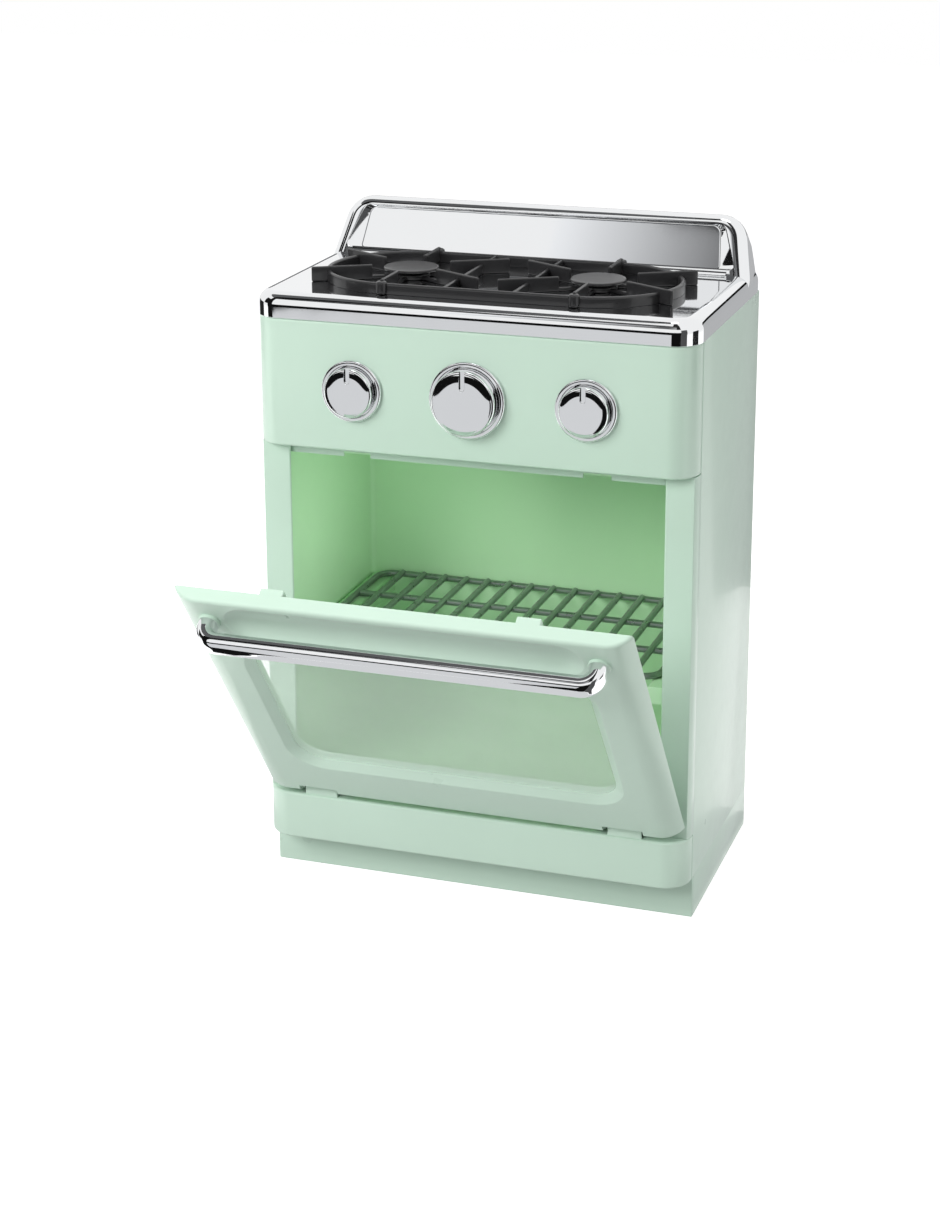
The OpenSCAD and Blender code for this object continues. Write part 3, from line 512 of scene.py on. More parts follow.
def circle2(radius, steps=12):
    a = np.linspace(0, 2 * math.pi, steps, endpoint=False)
    return np.stack([radius * np.cos(a), radius * np.sin(a)], 1)


setCamera()
setLamps()
setStage()
print("camera, lamps and floor are set")


cabinet = dict(half=130, corner=16, wrap=17.7, depth=158, base=25, sill=54, foot=270, top=345,
               edge=1.6, toe=20, wall=2.4, jamb=112, jambBack=9, backCorner=1.61, sheetEdge=0.7,
               baseEdge=0.8, trayEdge=0.5, trayBack=155.1)


# Outline in plan set on its side: the outline's second axis becomes z and the prism runs along y
def alongY(grid):
    return grid[..., [0, 2, 1]]


# Block with all of its edges softened
def softBlock(x0, x1, y0, y1, z0, z1, edge=0.6, arc=3):
    return softPrism(box2(x0, x1, y0, y1), edge * 1.01, z0, z1, edge, arc, 2, 3)


# Front mouldings: the plan with its two round corners, carried up between two heights
def makeFrontPanel(name, node, low, high, extra=None):
    c = cabinet
    shape = Shape()
    corners = box2(-c["half"], c["half"], 0, c["wrap"])
    radii = (c["corner"], c["corner"], c["backCorner"], c["backCorner"])
    grid = softPrism(corners, radii, low, high, c["edge"], 14, (10, 2, 2, 2), 7)
    shape.sheet(grid, True, (True, True))
    if extra:
        extra(shape)
    shape.piece(name, "cabinet", "mint_plastic", [node])


hinge = dict(y=8.2, z=58.2, barrel=7, width=20.3, x=93.6, notch=24.1, notchTop=68.5, ear=4.4,
             earR=3.8, open=37.5, footZ=50, footEdge=0.5)


# Profile of a round barrel between two places on its axis, with softened ends
def barrelProfile(radius, low, high, edge=0.6, steps=4):
    return [(0, low)] + [(radius - i, h) for i, h in softEnds(edge, low, high, steps)] + [(0, high)]


# Knuckle: a round barrel along x on a foot that rises from the panel
def addKnuckles(shape):
    h = hinge
    half = h["width"] / 2
    for x in (-h["x"], h["x"]):
        barrel = barrelProfile(h["barrel"], -half, half)
        shape.sheet(turned(barrel, (x, h["y"], h["z"]), "x", 48), True)
        foot = softBlock(x - half, x + half, h["y"] - h["barrel"], h["y"] + h["barrel"],
                         h["footZ"], h["z"], h["footEdge"])
        shape.sheet(foot, True, (True, True))


makeFrontPanel("controlPanel", "control_panel", cabinet["foot"], cabinet["top"])
makeFrontPanel("lowerPanel", "lower_panel", cabinet["base"], cabinet["sill"], addKnuckles)


# Side panel: a flat sheet, and the upright face beside the door whose outer corner follows the
# round corner. The arc's tangents meet at (half, tangentY), so one corner of nearly that radius
# draws it.
def makeSidePanel(name, node, flip):
    c = cabinet
    shape = Shape()
    inner, wrap, jambY = c["half"] - c["wall"], c["wrap"] + 1, c["jambBack"] + c["wall"]
    upper = softBlock(inner, c["half"], c["wrap"], c["depth"], c["base"], c["top"], c["sheetEdge"])
    lower = softBlock(inner, c["half"], c["toe"] + c["wall"] + 0.1, c["depth"], 0, c["base"] + 1,
                      c["sheetEdge"])
    shape.sheet(upper, True, (True, True)).sheet(lower, True, (True, True))
    centreX, r = c["half"] - c["corner"], c["corner"]
    lean = math.asin((r - c["jambBack"]) / r)
    startX = centreX + r * math.cos(lean)
    tangentY = c["jambBack"] + (c["half"] - startX) * math.cos(lean) / math.sin(lean)
    corners = [(c["jamb"], c["jambBack"]), (startX, c["jambBack"]), (c["half"], tangentY),
               (c["half"], wrap), (inner, wrap), (inner, jambY), (c["jamb"], jambY)]
    radii = (0.9, 0.3, 15.4, 0.2, 0.2, 0.2, 0.9)
    grid = softPrism(corners, radii, c["sill"], c["foot"], 0.05, 8, 2, 2)
    shape.sheet(grid, True, (True, True))
    if flip:
        shape.points = [q * (-1, 1, 1) for q in shape.points]
    shape.piece(name, "cabinet", "mint_plastic", [node])


makeSidePanel("sidePanelRight", "side_panel_right", False)
makeSidePanel("sidePanelLeft", "side_panel_left", True)


# Toe plate and floor of the base
def makeBase():
    c = cabinet
    inner = c["half"] - c["wall"] - 0.1
    plate = softBlock(-c["half"], c["half"], c["toe"], c["toe"] + c["wall"], 0, c["base"], c["baseEdge"])
    tray = softBlock(-inner, inner, c["toe"] + 1, c["trayBack"], 0, c["wall"], c["trayEdge"])
    shape = Shape().sheet(plate, True, (True, True)).sheet(tray, True, (True, True))
    shape.piece("baseTray", "cabinet", "mint_plastic", ["base_tray"])


makeBase()


screw = dict(head=2.6, headH=1.4, shaft=1.3, soft=0.35, clear=0.2, reach=4, slot=0.7, slotL=3.2,
             slotDeep=0.9)


# Screws along y with their heads at the back: the profile of tip, shaft and head turned about the
# axis. Beside them it gives the two bars of each cross recess.
def screwSet(spots, headY, length):
    k = screw
    a = np.linspace(0, math.pi / 2, 5)
    headR = k["head"] - k["soft"] * (1 - np.cos(a))
    headH = k["headH"] - k["soft"] * (1 - np.sin(a))
    profile = [(0, -length), (k["shaft"] * 0.4, 0.3 - length), (k["shaft"], 2 - length),
               (k["shaft"], 0), (k["head"] - 0.15, 0), (k["head"], 0.15), *zip(headR, headH),
               (0, k["headH"])]
    top = headY + k["headH"]
    long, short = k["slotL"] / 2, k["slot"] / 2
    shape, bars = Shape(), (Shape(), Shape())
    for x, z in spots:
        shape.sheet(turned(profile, (x, headY, z), "y", 32), True)
        for recess, w, h in zip(bars, (long, short), (short, long)):
            block = softBlock(x - w, x + w, top - k["slotDeep"], top + 1, z - h, z + h, 0.06)
            recess.sheet(block, True, (True, True))
    return shape, list(bars)


# Round holes over the screw heads
def pockets(spots, headY):
    profile = barrelProfile(screw["head"] + screw["clear"], 0, screw["reach"], 0.1)
    shape = Shape()
    for x, z in spots:
        shape.sheet(turned(profile, (x, headY, z), "y", 32), True)
    return shape


rear = dict(half=127.6, y=155.2, thick=2.8, edge=0.5, screwX=124.3, screwZ=(39, 162, 307.5),
            headY=156.5, length=9.4, fieldHalf=113, fieldLow=20, fieldHigh=326, fieldR=12,
            fieldDeep=0.8)


# Flat plate with a shallow sunk field, held by six screws
def makeRearPanel():
    r = rear
    back = r["y"] + r["thick"]
    plate = softBlock(-r["half"], r["half"], r["y"], back, 0, cabinet["top"], r["edge"])
    outline = box2(-r["fieldHalf"], r["fieldHalf"], r["fieldLow"], r["fieldHigh"])
    field = softPrism(outline, r["fieldR"], back - r["fieldDeep"], back + 3, r["fieldDeep"] * 0.9,
                      10, 4, 4)
    spots = [(x, z) for x in (-r["screwX"], r["screwX"]) for z in r["screwZ"]]
    cutters = [Shape().sheet(alongY(field), True, (True, True)), pockets(spots, r["headY"])]
    shape = Shape().sheet(plate, True, (True, True))
    shape.piece("rearPanel", "cabinet", "mint_plastic", ["rear_panel"], 35, cutters)
    shape, bars = screwSet(spots, r["headY"], r["length"])
    shape.piece("rearScrews", "cabinet", "steel", ["rear_screws"], 40, bars)


makeRearPanel()


cavity = dict(half=117.5, floor=56, ceiling=265, back=153.2, wall=1.9, soft=3, front=11.4,
              floorFront=16, header=13, lip=2.1, stripTop=270, stripEdge=0.4, ledgeX=102,
              ledgeTop=143.5, ledgeH=10.5, ledgeEdge=2.5, ledgeFront=12.4, tabX=71.8, notch=16.6,
              notchLow=260, notchTop=266.2, notchEdge=0.8)


# The cavity is its front outline carried back along y and rounded into the back wall; its front rim
# is cut back at the floor, to clear the door, and at the ceiling
def makeLiner():
    c = cavity
    shape = Shape()
    corners = box2(-c["half"], c["half"], c["floor"], c["ceiling"])
    inset, drop = edgeRound(c["soft"], 6)
    rows = [(-c["wall"], 0), (0, 0), *zip(inset[::-1], c["back"] - drop[::-1]),
            (c["soft"] + 0.5, c["back"])]
    grid = []
    for i, y in rows:
        outline = softOutline(corners, c["soft"] + 0.01, i, 6, 6)
        front = np.where(outline[:, 1] < c["floor"] + 1, c["floorFront"],
                         np.where(outline[:, 1] > c["ceiling"] - 1, c["header"] + 0.6, c["front"]))
        grid.append(np.column_stack([outline[:, 0], np.maximum(front, y), outline[:, 1]]))
    shape.sheet(np.array(grid), True, (False, True))
    o = softOutline(corners, c["soft"], -c["wall"], 6, 6)
    ends = (grid[0][:, 1], np.full(len(o), c["back"] + c["wall"]))
    shell = np.array([np.column_stack([o[:, 0], y, o[:, 1]]) for y in ends])
    shape.sheet(shell, True, (False, True))
    radii = (0.3, 0.3, c["ledgeEdge"], c["ledgeEdge"])
    for side in (-1, 1):
        x0, x1 = sorted((side * c["ledgeX"], side * (c["half"] + 0.5)))
        outline = box2(x0, x1, c["ledgeTop"] - c["ledgeH"], c["ledgeTop"])
        ledge = softPrism(outline, radii, c["ledgeFront"], c["back"] + 0.5, 0.3, 6, 3, 3)
        shape.sheet(alongY(ledge), True, (True, True))
    shape.piece("ovenLiner", "cabinet", "cavity_plastic", ["oven_liner"])
    wide, back, half = c["half"] + c["wall"], c["header"] + c["wall"], c["notch"] / 2
    strip = softBlock(-wide, wide, c["header"], back, c["ceiling"] - c["lip"], c["stripTop"],
                      c["stripEdge"])
    notches = []
    for x in (-c["tabX"], c["tabX"]):
        notch = softBlock(x - half, x + half, c["header"] - 1, back + 1, c["notchLow"], c["notchTop"],
                          c["notchEdge"])
        notches.append(Shape().sheet(notch, True, (True, True)))
    strip = Shape().sheet(strip, True, (True, True))
    strip.piece("headerStrip", "cabinet", "mint_plastic", (), 35, notches)


makeLiner()


rack = dict(half=108, front=21, back=150, z=145.8, wire=2, soft=11, shift=-1.5, wires=14, bars=2,
            lift=1)


# Wire: a round section carried along a path
def wire(path, radius, closed=False):
    grid = swept(path, circle2(radius, 14), closed=closed)
    return np.concatenate([grid, grid[:1]]) if closed else grid


# A frame wire bent round, two bars across in its plane and the wires that lie on them
def makeRack():
    r = rack
    shape = Shape()
    loop = softOutline(box2(-r["half"], r["half"], r["front"], r["back"]), r["soft"], 0, 8, 6)
    loop = np.column_stack([loop[:, 0] + r["shift"], loop[:, 1], np.full(len(loop), r["z"])])
    shape.sheet(wire(loop, r["wire"], True), True)
    run, deep = np.linspace(0, 1, 3), r["back"] - r["front"]
    for k in range(1, r["bars"] + 1):
        y = r["front"] + k * deep / (r["bars"] + 1)
        x = r["shift"] + (2 * run - 1) * r["half"]
        path = np.column_stack([x, 0 * run + y, 0 * run + r["z"]])
        shape.sheet(wire(path, r["wire"]), True, (True, True))
    for x in r["shift"] + np.linspace(-r["half"], r["half"], r["wires"] + 2)[1:-1]:
        path = np.column_stack([0 * run + x, r["front"] + run * deep, 0 * run + r["z"] + r["lift"]])
        shape.sheet(wire(path, r["wire"]), True, (True, True))
    shape.piece("ovenRack", "rack", "rack_wire", ["oven_rack"], 50)


makeRack()


hob = dict(half=130.5, front=-0.5, back=158.5, foot=345, skirt=351.7, edge=7.6, corner=16,
           backCorner=8, z=359.3)
guard = dict(y=124, lean=28, slope=11, height=39.16, corner=17, rim=7.6, back=153.2, shoulder=363.3,
             sunk=12, recess=3, lip=7, lipEnd=6, bottom=4, lowCorner=2.4, fieldLow=17, fieldTop=14.5,
             fieldR=5.6, fieldSoft=0.8, rampLow=8.5, rampTop=12.5, rampR=6, rampSoft=0.9)


# Place on the leaning face: u across, v up the face, w into the guard
def onGuard(u, v, w):
    a = math.radians(guard["lean"])
    y = guard["y"] + w * math.cos(a) + v * math.sin(a)
    return np.stack([u, y, hob["z"] - w * math.sin(a) + v * math.cos(a)], -1)


# Depth of the guard's back at a height up the face: level at the rim, then a slope to the upright back
def guardBack(v):
    a = math.radians(guard["lean"])
    upright = (guard["back"] - guard["y"] - v * math.sin(a)) / math.cos(a)
    knee = (guard["shoulder"] - hob["z"] + (guard["back"] - guard["y"]) * math.tan(a)) * math.cos(a)
    kneeW = (guard["back"] - guard["y"] - knee * math.sin(a)) / math.cos(a)
    rimTop = guard["height"] - guard["rim"]
    slope = np.interp(v, [knee, rimTop], [kneeW, 2 * guard["rim"]])
    return np.where(v < knee, upright, slope)


# Hob: the plan outline drawn in along a quarter circle as it rises from the skirt
def addHob(shape):
    h = hob
    a = np.linspace(0, math.pi / 2, 13)
    rows = [(3, h["foot"]), (0.3, h["foot"]), (0, h["foot"] + 0.3), (0, h["skirt"] - 0.2),
            *zip(h["edge"] * (1 - np.cos(a)), h["skirt"] + h["edge"] * np.sin(a)),
            (h["edge"] + 0.4, h["z"])]
    corners = box2(-h["half"], h["half"], h["front"], h["back"])
    radii = (h["corner"], h["corner"], h["backCorner"], h["backCorner"])
    grid = []
    for i, z in rows:
        o = softOutline(corners, radii, i, 14, (24, 12, 24, 12))
        grid.append(np.column_stack([o, np.full(len(o), z)]))
    shape.sheet(np.array(grid), True, (True, True))


# Half the guard's width at a height up its face
def guardHalf(v):
    return hob["half"] - v * math.tan(math.radians(guard["slope"]))


# One outline of the recess: its ends are drawn in from the guard's by two amounts, low and high
def recessRow(endLow, endTop, radius, inset, w):
    g = guard
    low, top = g["bottom"], g["height"] - g["rim"]
    x0, x1 = guardHalf(low) - endLow, guardHalf(top) - endTop
    corners = [(-x0, low), (x0, low), (x1, top), (-x1, top)]
    o = softOutline(corners, (g["lowCorner"], g["lowCorner"], radius, radius), inset, 10, 16)
    return onGuard(o[:, 0], o[:, 1], np.full(len(o), w))


# Guard: outlines in the leaning face. First the recess's floor with its soft edge and the ramps up
# to the face, then the rim as a half circle: the outline is drawn in by r(1 - sin) and lies
# r(1 - cos) deep. Behind the rim it follows the back, and the back is closed on the middle line.
def addGuard(shape):
    g = guard
    rim, low, high = g["rim"], -g["sunk"], g["height"]
    field, ramp = (g["fieldLow"], g["fieldTop"], g["fieldR"]), (g["rampLow"], g["rampTop"], g["rampR"])
    grid = [recessRow(*field, g["fieldSoft"] * 1.5, g["recess"])]
    for a in np.radians((0, 30, 60)):
        drawn, deep = g["fieldSoft"] * (1 - math.sin(a)), g["fieldSoft"] * (1 - math.cos(a))
        grid.append(recessRow(*field, drawn - 0.1, g["recess"] - deep))
    for a in np.radians((60, 30, 0)):
        drawn, deep = g["rampSoft"] * (math.sin(a) - 1), g["rampSoft"] * (1 - math.cos(a))
        grid.append(recessRow(*ramp, drawn + 0.1, deep))
    low0, high0 = guardHalf(low), guardHalf(high)
    outer = [(-low0, low), (low0, low), (high0, high), (-high0, high)]
    radii = (0.5, 0.5, g["corner"], g["corner"])
    for t, more in ((0.0, 0.5), *((t, 0.0) for t in np.linspace(0, math.pi, 29))):
        inset = rim * (1 - math.sin(t)) + more
        sides = inset if t <= math.pi / 2 else 0.0
        o = softOutline(outer, radii, (0, sides, inset, sides), 10, 16)
        w = np.full(len(o), rim * (1 - math.cos(t)))
        if t > math.pi / 2:
            w = rim - math.cos(t) * (guardBack(o[:, 1]) - rim)
        grid.append(onGuard(o[:, 0], o[:, 1], w))
    last = grid[-1]
    grid = np.array(grid + [last * (k, 1, 1) for k in (0.97, 0.5, 0.0)])
    side = hob["half"] - 0.1  # below the hob's top the guard stays within its skirt
    grid[..., 0] = np.clip(grid[..., 0], -side, side)
    grid[..., 2] = np.maximum(grid[..., 2], hob["foot"] + 0.8)
    shape.sheet(grid, True, (True, False))


# Concave lip between hob and guard: an arc tangent to both, carried along x
def addGuardLip(shape):
    g, r = guard, guard["lip"]
    y0 = g["y"] - r * math.tan(math.radians(45 - g["lean"] / 2))
    a = np.radians(np.linspace(-90, -g["lean"], 12))
    profile = np.concatenate([np.stack([y0 + r * np.cos(a), hob["z"] + r + r * np.sin(a)], 1),
                              [(g["y"] + 6, hob["z"] - 1), (y0, hob["z"] - 1)]])
    end = hob["half"] - g["rim"] - g["lipEnd"]
    x = np.linspace(-end, end, 24)
    grid = np.stack([np.column_stack([np.full(len(profile), v), profile]) for v in x])
    shape.sheet(grid, True, (True, True))


def makeCooktop():
    shape = Shape()
    addHob(shape)
    addGuard(shape)
    addGuardLip(shape)
    shape.piece("cooktopShell", "cabinet", "bright_trim", ["cooktop"], 40)


makeCooktop()


grate = dict(x=56.5, y=65.5, rim=49.5, rimW=3, rimH=6.3, rimR=1.45, bladeIn=23, bladeOut=58.5,
             bladeT=2, bladeH=8.7, web=2.4, cross=20.5, barT=2.4, barH=6, foot=3.2, footEdge=1.6,
             hubR=11, hubH=3, hubEdge=0.8, capR=16, capT=1.8, capH=6.7, capEdge=0.85, stem=8)


# Bar in plan turned by an angle about a burner, with a round top and softened ends
def bar(centre, angle, x0, x1, thick, high):
    corners = np.array(box2(x0, x1, -thick / 2, thick / 2))
    a = math.radians(angle)
    turn = np.array([[math.cos(a), math.sin(a)], [-math.sin(a), math.cos(a)]])
    return softPrism(corners @ turn + centre, thick * 0.35, hob["z"], hob["z"] + high, thick * 0.45,
                     3, (6, 1, 6, 1), 5)


# Rim: a section carried round two half circles and the straights between them. Each burner has a
# cross bar, six blades on low webs, a hub and two feet; its cap is a disc turned with its stem.
def makeGrate():
    g = grate
    shape = Shape()
    mid = g["rim"] - g["rimW"] / 2
    a = np.radians(np.linspace(-90, 90, 33))
    right = np.stack([g["x"] + mid * np.cos(a), g["y"] + mid * np.sin(a)], 1)
    flat = np.linspace(1, -1, 10)[1:-1]
    far = np.stack([flat * g["x"], np.full(8, g["y"] + mid)], 1)
    left = np.stack([-g["x"] - mid * np.cos(a), g["y"] - mid * np.sin(a)], 1)
    near = np.stack([-flat * g["x"], np.full(8, g["y"] - mid)], 1)
    loop = np.concatenate([right, far, left, near])
    section = box2(-g["rimW"] / 2, g["rimW"] / 2, 0, g["rimH"])
    section = softOutline(section, (0.3, 0.3, g["rimR"], g["rimR"]), 0, 6, 2)
    ring = swept(np.column_stack([loop, np.full(len(loop), hob["z"])]), section, closed=True)
    shape.sheet(np.concatenate([ring, ring[:1]]), True)
    for side in (-1, 1):
        centre = np.array((side * g["x"], g["y"]))
        bars = [bar((side * g["cross"], g["y"]), 90, 1 - g["rim"], g["rim"] - 1, g["barT"], g["barH"])]
        for angle in range(30, 360, 60):
            end = g["rim"] if angle in (90, 270) else g["bladeOut"]
            bars.append(bar(centre, angle, g["bladeIn"], end, g["bladeT"], g["bladeH"]))
            bars.append(bar(centre, angle, g["hubR"] - 1, g["bladeIn"] + 1, g["bladeT"], g["web"]))
        for grid in bars:
            shape.sheet(grid, True, (True, True))
        hub = barrelProfile(g["hubR"], 0, g["hubH"], g["hubEdge"])
        shape.sheet(turned(hub, (*centre, hob["z"])), True)
        foot = barrelProfile(g["foot"], 0, g["bladeH"] - 1, g["footEdge"], 6)
        for y in (-g["rim"], g["rim"]):
            shape.sheet(turned(foot, (centre[0], centre[1] + y, hob["z"]), "z", 28), True)
    shape.piece("grateCasting", "cabinet", "black_plastic", ["grate"], 50)
    low, high = g["capH"] - g["capT"], g["capH"]
    cap = [(0, 0.2), (g["stem"], 0.2), (g["stem"], g["hubH"] + 0.6),
           (g["stem"] + 0.6, g["hubH"] + 1.2), (g["stem"] + 1.5, low)]
    cap += [(g["capR"] - i, h) for i, h in softEnds(g["capEdge"], low, high, 6)]
    cap += [(g["capR"] - 1.5, high), (0, high)]
    for name, side in (("Left", -1), ("Right", 1)):
        disc = turned(cap, (side * g["x"], g["y"], hob["z"]), "z", 72)
        Shape().sheet(disc, True).piece("burnerCap" + name, "cabinet", "black_plastic",
                                        ["burner_cap_" + name.lower()], 50)


makeGrate()


knobs = dict(pitch=69, z=306, wellGap=0.65, ring=3.6, ringT=2.6, ringEdge=1.1, wellEdge=0.5,
             web=1, bore=3.06, back=1.3, edge=1.4, slot=3, slotDeep=1.5, slotStart=0.4, slotR=1.47,
             lip=0.9, lipTurn=40, domeStart=0.64, domeAngle=12)
knobSizes = {"Left": (-1, 14.35, 8.5), "Middle": (0, 18.7, 10.5), "Right": (1, 14.35, 8.5)}


# Ring and knob are profiles of radius and stand-out turned about the knob's axis. Towards its edge
# the knob's face falls away by (r - start) squared times tan(angle) over twice the run. The pointer
# is a slot with a soft lip and a round lower end that runs out through the edge.
def makeKnobs():
    k = knobs
    for name, (place, radius, stand) in knobSizes.items():
        centre = (place * k["pitch"], 0, k["z"])
        well, rim = radius + k["wellGap"], radius + k["ring"]
        a = np.linspace(0, math.pi / 2, 7)
        upR, upH = 1 - np.cos(a), 1 - np.sin(a)
        outside = zip(rim - k["ringEdge"] * upR, k["ringT"] - k["ringEdge"] * upH)
        inside = zip(well + k["wellEdge"] * upH, k["ringT"] - k["wellEdge"] * upR)
        ring = [(k["bore"], 0), (rim, 0), *outside, *inside, (well, k["web"]), (k["bore"], k["web"]),
                (k["bore"], 0)]
        shape = Shape().sheet(turned(ring, centre, "y", 96) * (1, -1, 1), True)
        shape.piece("bezel" + name, "cabinet", "bright_trim", ["bezel_" + name.lower()], 40)
        inset, drop = (v[:0:-1] for v in edgeRound(k["edge"], 7))
        first, last = radius * k["domeStart"], radius - k["edge"]
        r = np.linspace(last, first, 10)
        fall = (r - first) ** 2 * math.tan(math.radians(k["domeAngle"])) / (2 * (last - first))
        body = [(0, k["back"]), (radius - 0.4, k["back"]), (radius, k["back"] + 0.4),
                *zip(radius - inset, stand - fall[0] - drop), *zip(r, stand - fall), (0, stand)]
        shape = Shape().sheet(turned(body, centre, "y", 96) * (1, -1, 1), True)
        start = k["z"] + radius * k["slotStart"]
        corners = box2(centre[0] - k["slot"] / 2, centre[0] + k["slot"] / 2, start, k["z"] + radius + 3)
        a = np.radians(np.linspace(0, k["lipTurn"], 5))
        widen, sink = k["lip"] * (np.cos(a) - 1), k["lip"] * (np.sin(a[-1]) - np.sin(a))
        slot = []
        for i, y in [(0.0, k["slotDeep"]), *zip(widen, sink), (widen[-1], -3)]:
            o = softOutline(corners, (k["slotR"], k["slotR"], 0.5, 0.5), i, 8, 4)
            slot.append(np.column_stack([o, np.full(len(o), y - stand)]))
        shape.piece("knob" + name, "knob_" + name.lower(), "bright_trim", ["knob_" + name.lower()], 25,
                    [Shape().sheet(alongY(np.array(slot)), True, (True, True))])


makeKnobs()


door = dict(foot=62.5, top=264, thick=8.7, edge=2, half=130, corner=16, split=226,
            windowW=102, windowH=64, windowZ=157.5, windowR=22, lip=5.5, lipDeep=4, pane=2,
            paneInset=3, scoopW=101, scoopH=14.5, scoopDeep=4.6, scoopZ=245.5, seat=6,
            linerHalf=122.15, linerLow=70.35, linerHigh=256.15, linerR=5.15, linerEdge=0.5,
            tabX=71.8, tabW=13.6, tabD=4.4, tabH=6, tabEdge=0.9, notchEdge=0.8,
            bossX=109.5, bossR=6.2, bossH=2, screwX=113, screwZ=(76.5, 157.5, 226), headY=7.2,
            screwL=4.5)


# The door is worked out closed and then turned about its hinge axis to where the photograph has it
def hung(points):
    a = math.radians(hinge["open"])
    y, z = points[..., 1] - hinge["y"], points[..., 2] - hinge["z"]
    return np.stack([points[..., 0], y * math.cos(a) - z * math.sin(a) + hinge["y"],
                     y * math.sin(a) + z * math.cos(a) + hinge["z"]], -1)


def hangShape(shape):
    shape.points = [hung(q) for q in shape.points]
    return shape


# Front outline in plan, drawn in by an inset: flat, then an arc that ends at the door's back plane
def doorPlan(inset, flat, bends):
    d = door
    r = d["corner"] - inset
    x0 = d["half"] - d["corner"]
    end = math.acos((d["corner"] - d["thick"]) / r)
    a = end * bends
    arcX, arcY = x0 + r * np.sin(a), d["corner"] - r * np.cos(a)
    x = np.concatenate([-arcX[::-1], flat[1:-1], arcX])
    y = np.concatenate([arcY[::-1], np.full(len(flat) - 2, float(inset)), arcY])
    return x, y


# Rings of an outline's x and z, each at its own depth y
def ringsAt(rows):
    return np.array([np.column_stack([o[:, 0], np.full(len(o), y), o[:, 1]]) for o, y in rows])


# Outline of the window opening in the frame and in the inner panel
def windowBox(inset=0):
    d = door
    w, h = d["windowW"] - inset, d["windowH"] - inset
    return box2(-w, w, d["windowZ"] - h, d["windowZ"] + h)


